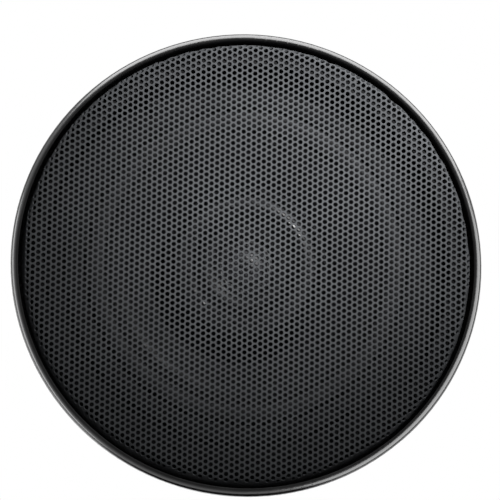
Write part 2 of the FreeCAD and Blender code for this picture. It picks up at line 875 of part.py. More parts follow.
def make_woofer_frame():
    """The pressed frame with its windows, its seal, screws and front trim ring."""
    lip = roll_radius_out - d.frame_lip
    waist = d.spider_radius + d.spider_glue
    ledge_in = d.spider_radius - d.spider_ledge
    foot_in = d.frame_foot
    sheet_size = d.frame_sheet
    frame = turned(
        "woofer_frame",
        (flange_radius, flange_front),
        (flange_radius, flange_back),
        (lip + sheet_size, flange_back),
        (waist + sheet_size, ledge + sheet_size),
        (ledge_in + sheet_size, ledge + sheet_size),
        (ledge_in + sheet_size, plate_front),
        (foot_in, plate_front),
        (foot_in, plate_front - sheet_size),
        (ledge_in, plate_front - sheet_size),
        (ledge_in, ledge),
        (waist, ledge),
        (lip, flange_front),
    )
    inner = waist + d.window_rim
    outer = lip - d.window_rim
    half = d.window_sweep / 2
    sketch = new_sketch(frame, "XY_Plane", flange_front)
    outline(
        sketch,
        (inner * cosine(half), -(inner * sine(half))),
        (outer * cosine(half), -(outer * sine(half))),
        Arc(outer, 1),
        (outer * cosine(half), outer * sine(half)),
        (inner * cosine(half), inner * sine(half)),
        Arc(inner, -1),
    )
    made = pocketed(frame, sketch, d.spider_depth)
    around(frame, made, d.frame_windows)
    x = woofer_screw_circle * cosine(d.woofer_screw_angle)
    y = woofer_screw_circle * sine(d.woofer_screw_angle)
    hole = d.screw_radius + d.screw_clearance
    made = drilled(frame, x, y, hole, flange_front, flange_back)
    around(frame, made, d.woofer_screw_count)
    seal = turned(
        "woofer_seal",
        (cutout_radius + d.woofer_seal_inset, flange_back),
        (flange_radius - d.woofer_seal_inset, flange_back),
        (flange_radius - d.woofer_seal_inset, rebate_floor),
        (cutout_radius + d.woofer_seal_inset, rebate_floor),
    )
    made = drilled(seal, x, y, hole, flange_back, rebate_floor)
    around(seal, made, d.woofer_screw_count)
    screws = fasteners(
        "woofer_screws",
        woofer_screw_circle,
        d.woofer_screw_count,
        *screw_outline(
            flange_front - d.screw_head_height,
            d.screw_head_radius,
            d.screw_head_height,
            d.screw_radius,
            d.woofer_screw_length,
            d.screw_socket_radius,
            d.screw_socket_depth,
        ),
    )
    screws.Placement = FreeCAD.Placement(V(), FreeCAD.Rotation(V(0, 0, 1), d.woofer_screw_angle.number))
    screws.setExpression("Placement.Rotation.Angle", d.woofer_screw_angle.text)
    landing_front = flange_front - d.surround_skin
    landing_out = roll_radius_out + d.surround_landing
    trim_front = landing_front - d.trim_height
    trim_out = flange_radius - 2 * d.woofer_screw_inset
    turned(
        "woofer_trim",
        (roll_radius_out + d.trim_fit, trim_front),
        (trim_out, trim_front),
        (trim_out, flange_front),
        (landing_out + d.trim_fit, flange_front),
        (landing_out + d.trim_fit, landing_front),
        (roll_radius_out + d.trim_fit, landing_front),
    )


def make_woofer_cone():
    """The cone, its rolled surround, the corrugated spider and the voice coil."""
    landing_front = flange_front - d.surround_skin
    rim_in = d.cone_radius - d.cone_rim
    turned(
        "woofer_surround",
        (roll_radius_out + d.surround_landing, landing_front),
        (roll_radius_out + d.surround_landing, flange_front),
        (roll_middle + roll_half_back, flange_front),
        Arc(roll_skin, -1),
        (roll_middle - roll_half_back, flange_front),
        (rim_in, flange_front),
        (rim_in, landing_front),
        (d.cone_radius, landing_front),
        Arc(roll_radius, 1),
        (roll_radius_out, landing_front),
    )
    neck = flange_front + d.cone_depth
    collar_end = neck + d.cone_collar
    skin = d.cone_skin
    turned(
        "woofer_cone",
        (d.cone_radius, flange_front),
        (d.cone_radius, flange_front + skin),
        (rim_in, flange_front + skin),
        Arc(d.cone_bow, -1),
        (former_radius + skin, neck + skin),
        (former_radius + skin, collar_end),
        (former_radius, collar_end),
        (former_radius, neck),
        Arc(d.cone_bow + skin, 1),
        (rim_in, flange_front),
    )
    coil_end = plate_front + d.plate_thickness / 2 + d.winding_length / 2
    turned(
        "voice_coil_former",
        (d.former_bore, neck),
        (former_radius, neck),
        (former_radius, coil_end),
        (d.former_bore, coil_end),
    )
    turned(
        "voice_coil_winding",
        (former_radius, coil_end - d.winding_length),
        (winding_radius, coil_end - d.winding_length),
        (winding_radius, coil_end),
        (former_radius, coil_end),
    )
    spider_in = former_radius + d.spider_glue
    wave_out = d.spider_radius - d.spider_ledge
    wave_step = (wave_out - spider_in) / (ROLL_STEPS + 1)
    front = []
    back = []
    for index in range(ROLL_STEPS + 2):
        swing = 0 if index in (0, ROLL_STEPS + 1) else (-1) ** index
        radius = spider_in + wave_step * index
        front.append((radius, ledge - d.spider_skin - d.spider_wave * swing))
        back.append((radius, ledge - d.spider_wave * swing))
    turned(
        "woofer_spider",
        *front,
        (d.spider_radius, ledge - d.spider_skin),
        (d.spider_radius, ledge),
        *reversed(back),
    )


def make_woofer_motor():
    """The plates and ferrite ring that drive the voice coil, and the frame's terminal strip."""
    pole_radius = d.former_bore - d.coil_clearance
    bore = d.post_radius + d.post_fit
    turned(
        "woofer_top_plate",
        (winding_radius + d.coil_clearance, plate_front),
        (d.plate_radius, plate_front),
        (d.plate_radius, plate_back),
        (winding_radius + d.coil_clearance, plate_back),
    )
    turned(
        "woofer_magnet",
        (d.magnet_bore, plate_back),
        (d.magnet_radius, plate_back),
        (d.magnet_radius, magnet_back),
        (d.magnet_bore, magnet_back),
    )
    turned(
        "woofer_yoke",
        (bore, plate_front),
        (pole_radius, plate_front),
        (pole_radius, magnet_back),
        (d.plate_radius, magnet_back),
        (d.plate_radius, yoke_back),
        (bore, yoke_back),
    )
    wall = d.spider_radius - d.spider_ledge + d.frame_sheet
    strip_low = ledge + d.frame_sheet + d.frame_step / 3
    strip_start = wall + d.spider_glue
    strip_middle = strip_start + d.terminal_reach / 2
    strip = block(d.terminal_reach, d.terminal_breadth, d.terminal_board, strip_middle, as_size(0), strip_low)
    group("woofer_terminal_strip", strip)
    lug_middle = strip_start + d.terminal_reach - d.terminal_lug_reach / 4
    lugs = [
        block(
            d.terminal_lug_reach,
            d.terminal_lug_width,
            d.terminal_lug_sheet,
            lug_middle,
            d.terminal_lug_spacing / 2 * side,
            strip_low + d.terminal_board,
        )
        for side in (-1, 1)
    ]
    group("woofer_terminal_lugs", *lugs)


def make_tweeter():
    """The dome tweeter in its waveguide, on the post that passes through the woofer's pole."""
    mouth = d.waveguide_mouth
    throat_front = clamp_front - d.waveguide_throat_edge
    turned(
        "tweeter_waveguide",
        (throat_radius, throat_front),
        Arc(d.waveguide_dish_bow, -1),
        (mouth - d.waveguide_lip, tweeter_front),
        (mouth, tweeter_front),
        Arc(d.waveguide_outer_bow, 1),
        (d.waveguide_radius, clamp_front - d.waveguide_edge),
        (d.waveguide_radius, clamp_front),
        (throat_radius, clamp_front),
    )
    turned(
        "tweeter_dome",
        (0, clamp_front - d.dome_height),
        Arc(dome_bow, 1),
        (d.dome_radius, clamp_front),
        Arc(dome_roll_bow, 1),
        (dome_edge, clamp_front),
        (clamp_radius, clamp_front),
        (clamp_radius, clamp_back),
        (dome_edge, clamp_back),
        Arc(dome_roll_bow, -1),
        (d.dome_radius, clamp_back),
        Arc(dome_bow, -1),
        (0, clamp_back - d.dome_height),
    )
    coil_out = d.dome_radius - d.dome_skin
    coil_in = coil_out - d.tweeter_coil_wall
    coil_front = clamp_back
    turned(
        "tweeter_coil",
        (coil_in, coil_front),
        (coil_out, coil_front),
        (coil_out, coil_front + d.tweeter_coil_length),
        (coil_in, coil_front + d.tweeter_coil_length),
    )
    plate_radius = coil_in - d.tweeter_coil_gap
    yoke_bore = coil_out + d.tweeter_coil_gap
    turned(
        "tweeter_plate",
        (0, clamp_back + d.tweeter_plate),
        (plate_radius, clamp_back + d.tweeter_plate),
        (plate_radius, plate_end),
        (0, plate_end),
    )
    turned(
        "tweeter_magnet",
        (0, plate_end),
        (plate_radius - d.tweeter_magnet_inset, plate_end),
        (plate_radius - d.tweeter_magnet_inset, magnet_end),
        (0, magnet_end),
    )
    turned(
        "tweeter_yoke",
        (0, magnet_end),
        (yoke_bore, magnet_end),
        (yoke_bore, clamp_back),
        (clamp_radius, clamp_back),
        (clamp_radius, yoke_end),
        (0, yoke_end),
    )
    cavity = clamp_radius + d.housing_fit
    barrel = cavity + d.housing_wall
    floor_end = yoke_end + d.housing_wall
    boss_bore = d.post_radius + d.post_fit
    boss_out = boss_bore + d.post_boss_wall
    boss_end = floor_end + d.post_socket
    turned(
        "tweeter_housing",
        (cavity, clamp_front),
        (barrel + d.housing_flange, clamp_front),
        (barrel + d.housing_flange, clamp_front + d.housing_flange_thickness),
        (barrel, clamp_front + d.housing_flange_thickness),
        (barrel, floor_end),
        (boss_out, floor_end),
        (boss_out, boss_end),
        (boss_bore, boss_end),
        (boss_bore, floor_end),
        (d.post_bore, floor_end),
        (d.post_bore, yoke_end),
        (cavity, yoke_end),
    )
    post_end = yoke_back + d.nut_thickness + d.post_tail
    turned(
        "tweeter_post",
        (d.post_bore, floor_end),
        (d.post_radius, floor_end),
        (d.post_radius, post_end),
        (d.post_bore, post_end),
    )
    turned(
        "post_nut",
        (d.post_radius + d.post_fit, yoke_back),
        (d.nut_radius, yoke_back),
        (d.nut_radius, yoke_back + d.nut_thickness),
        (d.post_radius + d.post_fit, yoke_back + d.nut_thickness),
    )


def make_crossover():
    """The crossover board below the deck, its four screws and the components it carries."""
    board = block(d.board_length, d.board_breadth, d.board_thickness, as_size(0), as_size(0), board_under)
    hole = d.board_screw_radius + d.screw_clearance
    holes = [rod(hole, d.board_thickness, x, y, board_under) for x, y in board_corners()]
    node(cut(board, *holes), "crossover_board")
    screws = []
    for x, y in board_corners():
        head = rod(d.board_screw_head, d.board_screw_head_height, x, y, board_under - d.board_screw_head_height)
        shank = rod(d.board_screw_radius, d.board_screw_length, x, y, board_under)
        screws.append(joined(head, shank))
    group("board_screws", *screws)
    hang = board_under - d.component_gap
    coils = []
    for side in (-1, 1):
        place = (d.coil_inset - d.board_length / 2, d.coil_row * side, hang - d.coil_height)
        coils.append(cut(rod(d.coil_radius, d.coil_height, *place), rod(d.coil_bore, d.coil_height, *place)))
    group("crossover_coils", *coils)
    capacitors = [
        rod(
            d.capacitor_radius,
            d.capacitor_length,
            d.capacitor_place,
            d.capacitor_row * side,
            hang - d.capacitor_radius,
            "x",
        )
        for side in (-1, 1)
    ]
    group("crossover_capacitors", *capacitors)
    resistors = [
        block(
            d.resistor_length,
            d.resistor_side,
            d.resistor_side,
            d.capacitor_place + d.resistor_length / 2,
            (d.capacitor_row + d.capacitor_radius + d.component_spacing + d.resistor_side / 2) * side,
            hang - d.resistor_side,
        )
        for side in (-1, 1)
    ]
    group("crossover_resistors", *resistors)


def make_terminal():
    """The cup set in the deck, its seal, the header and the four-pole screw plug."""
    centre = as_size(0)
    flange_low = deck_top + d.cup_seal_thickness
    flange_length = d.cup_length + 2 * d.cup_flange
    flange_breadth = d.cup_breadth + 2 * d.cup_flange
    cup_low = deck_top - d.cup_depth
    body_height = flange_low - cup_low
    cup_top = flange_low + d.cup_flange_thickness
    body = block(d.cup_length, d.cup_breadth, body_height, centre, d.cup_place, cup_low)
    flange = block(flange_length, flange_breadth, d.cup_flange_thickness, centre, d.cup_place, flange_low)
    hollow_floor = cup_low + d.cup_wall
    hollow = block(
        d.cup_length - 2 * d.cup_wall,
        d.cup_breadth - 2 * d.cup_wall,
        cup_top - hollow_floor,
        centre,
        d.cup_place,
        hollow_floor,
    )
    node(cut(joined(body, flange), hollow), "terminal_cup")
    seal = block(flange_length, flange_breadth, d.cup_seal_thickness, centre, d.cup_place, deck_top)
    seal_hole = block(
        d.cup_length + 2 * d.cup_fit,
        d.cup_breadth + 2 * d.cup_fit,
        d.cup_seal_thickness,
        centre,
        d.cup_place,
        deck_top,
    )
    node(cut(seal, seal_hole), "terminal_seal")
    header = block(d.header_length, d.header_breadth, d.header_height, centre, d.cup_place, hollow_floor)
    socket_floor = hollow_floor + d.header_floor
    socket = block(
        d.header_length - 2 * d.header_wall,
        d.header_breadth - 2 * d.header_wall,
        d.header_height - d.header_floor,
        centre,
        d.cup_place,
        socket_floor,
    )
    node(cut(header, socket), "terminal_header")
    plug_length = d.header_length - 2 * d.header_wall - 2 * d.plug_fit
    plug_breadth = d.header_breadth - 2 * d.header_wall - 2 * d.plug_fit
    plug = block(plug_length, plug_breadth, d.plug_height, centre, d.cup_place, socket_floor)
    plug_top = socket_floor + d.plug_height
    poles = [d.plug_pole_pitch * (index - 1.5) for index in range(4)]
    entries = [
        rod(d.plug_entry_radius, d.plug_entry_depth, x, d.cup_place, plug_top - d.plug_entry_depth)
        for x in poles
    ]
    screw_face = d.cup_place + plug_breadth / 2
    screw_level = plug_top - d.plug_screw_drop
    well_depth = d.plug_screw_depth + d.plug_screw_recess
    wells = [
        rod(d.plug_screw_radius + d.plug_screw_fit, well_depth, x, screw_face - well_depth, screw_level, "y")
        for x in poles
    ]
    node(cut(plug, *entries, *wells), "terminal_plug")
    screws = [
        rod(d.plug_screw_radius, d.plug_screw_depth, x, screw_face - well_depth, screw_level, "y")
        for x in poles
    ]
    group("terminal_plug_screws", *screws)


def make_hanger():
    """The welded eye plate on the deck, the plate that backs it and the bolts that clamp them."""
    hanger = new_body("hanger_plate")
    sketch = new_sketch(hanger, "XY_Plane", deck_top)
    half = d.hanger_length / 2
    side = d.hanger_breadth / 2
    corner = d.hanger_corner
    outline(
        sketch,
        (corner - half, -side),
        (half - corner, -side),
        Arc(corner, 1),
        (half, corner - side),
        (half, side - corner),
        Arc(corner, 1),
        (half - corner, side),
        (corner - half, side),
        Arc(corner, 1),
        (-half, side - corner),
        (-half, corner - side),
        Arc(corner, 1),
    )
    for x in (-d.bolt_place, d.bolt_place):
        ring(sketch, x, 0, d.bolt_radius + d.bolt_fit)
    padded(hanger, sketch, d.hanger_base)
    base_top = deck_top + d.hanger_base
    crown = d.eye_radius + d.eye_wall
    crown_half = d.eye_radius + d.eye_wall * 0.5
    crown_level = eye_level + root(crown * crown - crown_half * crown_half)
    sketch = new_sketch(hanger, "XZ_Plane")
    outline(
        sketch,
        (-(d.tab_breadth / 2), base_top),
        (d.tab_breadth / 2, base_top),
        (d.tab_breadth / 2, base_top + d.tab_shoulder),
        (crown_half, crown_level),
        Arc(crown, 1),
        (-crown_half, crown_level),
        (-(d.tab_breadth / 2), base_top + d.tab_shoulder),
    )
    ring(sketch, 0, eye_level, d.eye_radius)
    for x in (-d.side_eye_place, d.side_eye_place):
        ring(sketch, x, base_top + d.side_eye_height, d.side_eye_radius)
    padded(hanger, sketch, d.tab_thickness, symmetric=True)
    centre = as_size(0)
    backing_low = deck_under - d.backing_thickness
    backing = block(d.hanger_length, d.hanger_breadth, d.backing_thickness, centre, centre, backing_low)
    places = (-d.bolt_place, d.bolt_place)
    holes = [rod(d.bolt_radius + d.bolt_fit, d.backing_thickness, x, 0, backing_low) for x in places]
    node(cut(backing, *holes), "backing_plate")
    nut_low = backing_low - d.bolt_nut_thickness
    shank_low = nut_low - d.bolt_tail
    bolts = []
    nuts = []
    for x in places:
        head = rod(d.bolt_head_radius, d.bolt_head_height, x, 0, base_top)
        shank = rod(d.bolt_radius, base_top - shank_low, x, 0, shank_low)
        socket_low = base_top + d.bolt_head_height - d.bolt_socket_depth
        socket = rod(d.bolt_socket_radius, d.bolt_socket_depth, x, 0, socket_low)
        bolts.append(cut(joined(head, shank), socket))
        nut = rod(d.bolt_nut_radius, d.bolt_nut_thickness, x, 0, nut_low)
        bore = rod(d.bolt_radius + d.bolt_fit, d.bolt_nut_thickness, x, 0, nut_low)
        nuts.append(cut(nut, bore))
    group("hanger_bolts", *bolts)
    group("hanger_nuts", *nuts)


def export():
    """Checks every sub-part and writes its file."""
    doc.recompute()
    for piece in doc.Objects:
        if "Invalid" in piece.State or "Error" in piece.State:
            raise RuntimeError(f"{piece.Label} did not compute")
    os.makedirs("parts", exist_ok=True)
    for piece in nodes:
        shape = piece.Shape
        if shape.isNull() or not shape.isValid() or not shape.Solids:
            raise RuntimeError(f"{piece.Label} has no valid solid")
        shape.exportStep(f"parts/{piece.Label}.step")


make_grille()
make_baffle()
make_shell()
make_woofer_frame()
make_woofer_cone()
make_woofer_motor()
make_tweeter()
make_crossover()
make_terminal()
make_hanger()
export()
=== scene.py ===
"""Dresses a round pendant loudspeaker that hangs with its perforated grille facing down."""

import logging
import math
from dataclasses import dataclass
from enum import Enum

import bmesh
import bpy
from mathutils import Matrix, Vector


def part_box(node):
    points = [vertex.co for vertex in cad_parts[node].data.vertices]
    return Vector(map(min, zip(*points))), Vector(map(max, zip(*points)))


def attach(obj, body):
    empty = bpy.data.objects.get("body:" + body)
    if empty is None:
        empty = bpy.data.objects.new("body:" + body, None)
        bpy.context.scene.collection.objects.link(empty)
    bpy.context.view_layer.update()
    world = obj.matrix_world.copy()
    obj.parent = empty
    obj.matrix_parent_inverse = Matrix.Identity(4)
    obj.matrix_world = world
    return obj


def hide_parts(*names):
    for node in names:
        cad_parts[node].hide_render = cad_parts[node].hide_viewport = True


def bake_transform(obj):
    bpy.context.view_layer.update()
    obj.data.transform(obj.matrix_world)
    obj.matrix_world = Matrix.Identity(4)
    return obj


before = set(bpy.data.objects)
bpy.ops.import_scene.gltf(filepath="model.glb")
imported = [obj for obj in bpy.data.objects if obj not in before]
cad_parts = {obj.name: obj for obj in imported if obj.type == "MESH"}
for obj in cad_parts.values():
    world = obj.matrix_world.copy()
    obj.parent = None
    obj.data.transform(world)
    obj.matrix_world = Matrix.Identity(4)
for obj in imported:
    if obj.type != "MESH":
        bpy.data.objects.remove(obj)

Colour = tuple[float, float, float]
Point = tuple[float, float, float]
Pair = tuple[float, float]
Profile = list[Pair]
Node = bpy.types.Node
Piece = bpy.types.Object
Socket = bpy.types.NodeSocket
Work = bmesh.types.BMesh
Value = bool | int | float | tuple | Vector | Piece | bpy.types.Material
Wire = Value | Socket

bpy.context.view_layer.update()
LOG = logging.getLogger("pendant_speaker")

MM = 0.001
FULL_TURN = 2 * math.pi
TINY = 1e-6
WHITE = (1, 1, 1, 1)

# Textures: the range that noise rarely leaves, the distance after which a wave repeats at scale 1,
# and the Mix node's sockets for colours.
MIDDLE_RANGE = (0.3, 0.7)
WAVE_PERIOD = FULL_TURN / 20
MIX_COLOURS = (6, 7)
MIX_RESULT = 2

# Reliefs: octaves of noise, how noise is squeezed along each axis and how far bands waver.
GRAIN_DETAIL = 3
DRIFT_DETAIL = 4
FIBRE_DETAIL = 6
BRUSHED_SQUEEZE = (1, 1, 0.06)
FIBRE_SQUEEZES = ((1, 0.3, 1), (0.3, 1, 0.5))
WOUND_WAVER = 0.4
WEAVE_WAVER = 0.6

# Cleaning of a CAD node's mesh, and the rounding of its edges.
WELD_DISTANCE = 0.002 * MM
SLIVER_WIDTH = 0.001 * MM
FLAT_ANGLE = math.radians(0.5)
ROUNDED_ANGLE = math.radians(40)
ROUNDING_STEPS = 2

# How near to a round, and how much along its normal, a corner lies that belongs to it.
ROUND_TOLERANCE = 0.03 * MM
ROUND_FACING = 0.9


class Body(Enum):
    """The two bodies of the part."""

    CABINET = "cabinet"
    CONE = "cone"


class Drive(Enum):
    """The recess in a screw's head."""

    HEX = "hex"
    CROSS = "cross"
    SLOT = "slot"


class Relief(Enum):
    """The fine structure of a surface."""

    GRAIN = "grain"
    BRUSHED = "brushed"
    FIBRE = "fibre"
    WOUND = "wound"
    CELLS = "cells"
    WEAVE = "weave"


class Tree:
    """A node tree, with short calls that add its nodes and wire them."""

    def __init__(self, tree: bpy.types.NodeTree) -> None:
        """Takes up a node tree."""
        self.tree = tree

    def add(self, kind: str, settings: dict[str, str] | None = None, **wires: Wire) -> Node:
        """Adds a node, sets its options and fills its inputs.

        Args:
            kind: The node's type.
            settings: Options of the node.
            wires: Its inputs by name, spaces written as underscores, each a socket or a value.

        Returns:
            The new node.
        """
        node = self.tree.nodes.new(kind)
        for option, value in (settings or {}).items():
            setattr(node, option, value)
        self.feed(node, **wires)
        return node

    def feed(self, node: Node, **wires: Wire) -> None:
        """Fills a node's inputs by name, with spaces written as underscores."""
        for label, value in wires.items():
            self.fill(node.inputs[label.replace("_", " ")], value)

    def fill(self, socket: Socket, value: Wire) -> None:
        """Links a socket to another, or sets it to a plain value.

        Args:
            socket: The input to fill.
            value: The socket or the value that fills it.
        """
        if isinstance(value, Socket):
            self.tree.links.new(value, socket)
        else:
            socket.default_value = value

    def calc(self, operation: str, *values: Wire) -> Socket:
        """The result of one operation on sockets and numbers.

        Args:
            operation: The Math node's operation.
            values: Its operands.

        Returns:
            The result's socket.
        """
        node = self.add("ShaderNodeMath", {"operation": operation})
        for socket, value in zip(node.inputs, values):
            self.fill(socket, value)
        return node.outputs[0]


class Surface(Tree):
    """The node tree of one material, with its patterns and what they drive."""

    def __init__(self, name: str) -> None:
        """Makes a plain material.

        Args:
            name: The material's name.
        """
        self.material = bpy.data.materials.new(name)
        self.material.use_nodes = True
        super().__init__(self.material.node_tree)
        self.shader = self.tree.nodes["Principled BSDF"]
        self.place = self.add("ShaderNodeTexCoord").outputs["Object"]

    def noise(self, size: float, detail: float, squeeze: Point = (1, 1, 1)) -> Socket:
        """Soft random patches.

        Args:
            size: The size of a patch, in metres.
            detail: How many finer octaves are added.
            squeeze: How the patches are squeezed along each axis.

        Returns:
            The socket that runs from 0 to 1.
        """
        place = self.add("ShaderNodeMapping", Vector=self.place, Scale=squeeze).outputs["Vector"]
        texture = self.add("ShaderNodeTexNoise", Vector=place, Scale=1 / size, Detail=detail)
        return texture.outputs["Fac"]

    def cells(self, size: float) -> Socket:
        """The distance to the nearest of many scattered points, for open cells and speckles."""
        texture = self.add("ShaderNodeTexVoronoi", Vector=self.place, Scale=1 / size)
        return texture.outputs["Distance"]

    def bands(self, size: float, axis: str, waver: float) -> Socket:
        """Parallel bands across an axis.

        Args:
            size: The width of a band, in metres.
            axis: The axis across which the bands run.
            waver: How far the bands waver.

        Returns:
            The socket that runs from 0 to 1.
        """
        texture = self.add("ShaderNodeTexWave", {"bands_direction": axis}, Vector=self.place)
        self.feed(texture, Scale=WAVE_PERIOD / size, Distortion=waver)
        return texture.outputs["Fac"]

    def ranged(self, source: Socket, low: float, high: float) -> Socket:
        """A pattern's middle range stretched between two numbers.

        Args:
            source: The pattern.
            low: The number at the range's low end.
            high: The number at its high end.

        Returns:
            The stretched pattern.
        """
        start, stop = MIDDLE_RANGE
        node = self.add("ShaderNodeMapRange", Value=source, From_Min=start, From_Max=stop)
        self.feed(node, To_Min=low, To_Max=high)
        return node.outputs["Result"]

    def tint(self, source: Socket, dark: Colour, light: Colour) -> None:
        """Runs the base colour between two tints.

        Args:
            source: The pattern that picks between them.
            dark: The tint at its low end.
            light: The tint at its high end.
        """
        node = self.add("ShaderNodeMix", {"data_type": "RGBA"}, Factor=self.ranged(source, 0, 1))
        for index, colour in zip(MIX_COLOURS, (dark, light)):
            self.fill(node.inputs[index], (*colour, 1))
        self.feed(self.shader, Base_Color=node.outputs[MIX_RESULT])

    def roughen(self, source: Socket, low: float, high: float) -> None:
        """Runs the roughness between two values."""
        self.feed(self.shader, Roughness=self.ranged(source, low, high))

    def raise_by(self, source: Socket, height: float) -> None:
        """Bumps the surface by a height in metres."""
        node = self.add("ShaderNodeBump", Distance=height, Height=source)
        self.feed(self.shader, Normal=node.outputs["Normal"])


@dataclass(frozen=True)
class Finish:
    """A finish: two tints, a range of roughness and a fine relief, in metres."""

    slot: str
    dark: Colour
    light: Colour
    rough: Pair
    grain: float
    height: float
    patch: float
    relief: Relief = Relief.GRAIN
    metallic: float = 0.0
    specular: float = 0.5
    sheen: float = 0.0

    def structure(self, surface: Surface) -> Socket:
        """Adds the finish's relief to a material.

        Args:
            surface: The material's nodes.

        Returns:
            The socket that gives the relief.
        """
        size = self.grain
        if self.relief is Relief.BRUSHED:
            return surface.noise(size, GRAIN_DETAIL, BRUSHED_SQUEEZE)
        if self.relief is Relief.FIBRE:
            layers = [surface.noise(size, FIBRE_DETAIL, squeeze) for squeeze in FIBRE_SQUEEZES]
            return surface.calc("MULTIPLY", *layers)
        if self.relief is Relief.WOUND:
            return surface.bands(size, "Z", WOUND_WAVER)
        if self.relief is Relief.CELLS:
            return surface.cells(size)
        if self.relief is Relief.WEAVE:
            layers = [surface.bands(size, axis, WEAVE_WAVER) for axis in "XY"]
            return surface.calc("MULTIPLY", *layers)
        return surface.noise(size, GRAIN_DETAIL)

    def material(self) -> bpy.types.Material:
        """The finish as a procedural material, made once.

        Returns:
            The material.
        """
        made = bpy.data.materials.get(f"finish_{self.slot}")
        if made is not None:
            return made
        surface = Surface(f"finish_{self.slot}")
        surface.feed(surface.shader, Metallic=self.metallic, Sheen_Weight=self.sheen)
        surface.feed(surface.shader, Specular_IOR_Level=self.specular)
        surface.tint(surface.noise(self.patch, DRIFT_DETAIL), self.dark, self.light)
        surface.roughen(surface.noise(self.patch / 3, GRAIN_DETAIL), *self.rough)
        surface.raise_by(self.structure(surface), self.height)
        return surface.material


GRILLE_COAT = Finish(
    "grille", dark=(0.104, 0.108, 0.114), light=(0.122, 0.127, 0.134), rough=(0.70, 0.82),
    grain=0.25 * MM, height=0.012 * MM, patch=0.03, specular=0.02,
)
RIM_GLOSS = Finish(
    "rim", dark=(0.010, 0.010, 0.011), light=(0.015, 0.015, 0.017), rough=(0.18, 0.26),
    grain=0.6 * MM, height=0.002 * MM, patch=0.04, specular=1.0,
)
# The baffle's inside behind the grille: a rougher matt black (its own surface), with a tint a
# little darker than the rim's that is painted shade.
BAFFLE_SHADED_MATT = Finish(
    "baffle_inside", dark=(0.008, 0.008, 0.009), light=(0.012, 0.012, 0.013), rough=(0.65, 0.75),
    grain=0.5 * MM, height=0.01 * MM, patch=0.03, specular=0.08,
)
SHELL_TEXTURE = Finish(
    "shell", dark=(0.013, 0.013, 0.014), light=(0.019, 0.019, 0.021), rough=(0.50, 0.55),
    grain=0.45 * MM, height=0.03 * MM, patch=0.05, specular=0.2,
)
FOAM = Finish(
    "seal", dark=(0.008, 0.008, 0.009), light=(0.020, 0.020, 0.021), rough=(0.8, 0.95),
    grain=0.7 * MM, height=0.12 * MM, patch=0.004, relief=Relief.CELLS, specular=0.1,
)
BLACK_ZINC = Finish(
    "black_screw", dark=(0.016, 0.016, 0.018), light=(0.030, 0.030, 0.033), rough=(0.48, 0.60),
    grain=0.3 * MM, height=0.006 * MM, patch=0.004, specular=0.25,
)
FELT = Finish(
    "felt", dark=(0.55, 0.55, 0.53), light=(0.78, 0.78, 0.76), rough=(0.9, 1.0),
    grain=1.2 * MM, height=0.5 * MM, patch=0.01, relief=Relief.FIBRE, sheen=0.5,
)
FRAME_ENAMEL = Finish(
    "frame", dark=(0.012, 0.012, 0.013), light=(0.020, 0.020, 0.022), rough=(0.40, 0.52),
    grain=0.5 * MM, height=0.01 * MM, patch=0.02, specular=0.12,
)
CONE_SKIN = Finish(
    "cone", dark=(0.011, 0.011, 0.012), light=(0.019, 0.019, 0.021), rough=(0.30, 0.40),
    grain=0.9 * MM, height=0.02 * MM, patch=0.006, specular=0.12,
)
ROLL_RUBBER = Finish(
    "roll", dark=(0.015, 0.015, 0.016), light=(0.024, 0.024, 0.026), rough=(0.5, 0.65),
    grain=0.5 * MM, height=0.02 * MM, patch=0.008, specular=0.15, sheen=0.05,
)
SPIDER_CLOTH = Finish(
    "spider", dark=(0.42, 0.25, 0.11), light=(0.60, 0.40, 0.20), rough=(0.75, 0.9),
    grain=0.8 * MM, height=0.12 * MM, patch=0.006, relief=Relief.WEAVE,
)
AMBER_FILM = Finish(
    "former", dark=(0.42, 0.22, 0.07), light=(0.58, 0.34, 0.12), rough=(0.25, 0.4),
    grain=0.4 * MM, height=0.005 * MM, patch=0.004,
)
COPPER_WIRE = Finish(
    "copper", dark=(0.55, 0.22, 0.09), light=(0.76, 0.38, 0.19), rough=(0.22, 0.38),
    grain=0.4 * MM, height=0.15 * MM, patch=0.003, relief=Relief.WOUND, metallic=0.9,
)
ZINC_PLATE = Finish(
    "zinc", dark=(0.46, 0.47, 0.48), light=(0.62, 0.63, 0.64), rough=(0.26, 0.44),
    grain=0.5 * MM, height=0.008 * MM, patch=0.006, relief=Relief.BRUSHED, metallic=1.0,
)
FERRITE = Finish(
    "ferrite", dark=(0.045, 0.045, 0.050), light=(0.085, 0.085, 0.092), rough=(0.55, 0.75),
    grain=0.6 * MM, height=0.05 * MM, patch=0.004, relief=Relief.CELLS,
)
FIBRE_BOARD = Finish(
    "fibre", dark=(0.24, 0.10, 0.045), light=(0.36, 0.17, 0.08), rough=(0.6, 0.75),
    grain=0.5 * MM, height=0.03 * MM, patch=0.004, relief=Relief.FIBRE,
)
TINNED = Finish(
    "tin", dark=(0.62, 0.62, 0.60), light=(0.76, 0.76, 0.75), rough=(0.18, 0.34),
    grain=0.6 * MM, height=0.01 * MM, patch=0.003, metallic=1.0,
)
WAVEGUIDE_SATIN = Finish(
    "waveguide", dark=(0.014, 0.014, 0.015), light=(0.021, 0.021, 0.023), rough=(0.24, 0.34),
    grain=0.4 * MM, height=0.006 * MM, patch=0.012, specular=0.2,
)
DOME_SKIN = Finish(
    "dome", dark=(0.022, 0.022, 0.026), light=(0.040, 0.040, 0.046), rough=(0.34, 0.46),
    grain=0.25 * MM, height=0.01 * MM, patch=0.003, relief=Relief.WEAVE, sheen=0.2,
)
NICKEL = Finish(
    "nickel", dark=(0.60, 0.58, 0.54), light=(0.72, 0.70, 0.67), rough=(0.12, 0.24),
    grain=0.8 * MM, height=0.004 * MM, patch=0.004, metallic=1.0,
)
ALUMINIUM = Finish(
    "aluminium", dark=(0.66, 0.67, 0.68), light=(0.80, 0.81, 0.82), rough=(0.22, 0.34),
    grain=0.3 * MM, height=0.01 * MM, patch=0.006, relief=Relief.WOUND, metallic=1.0,
)
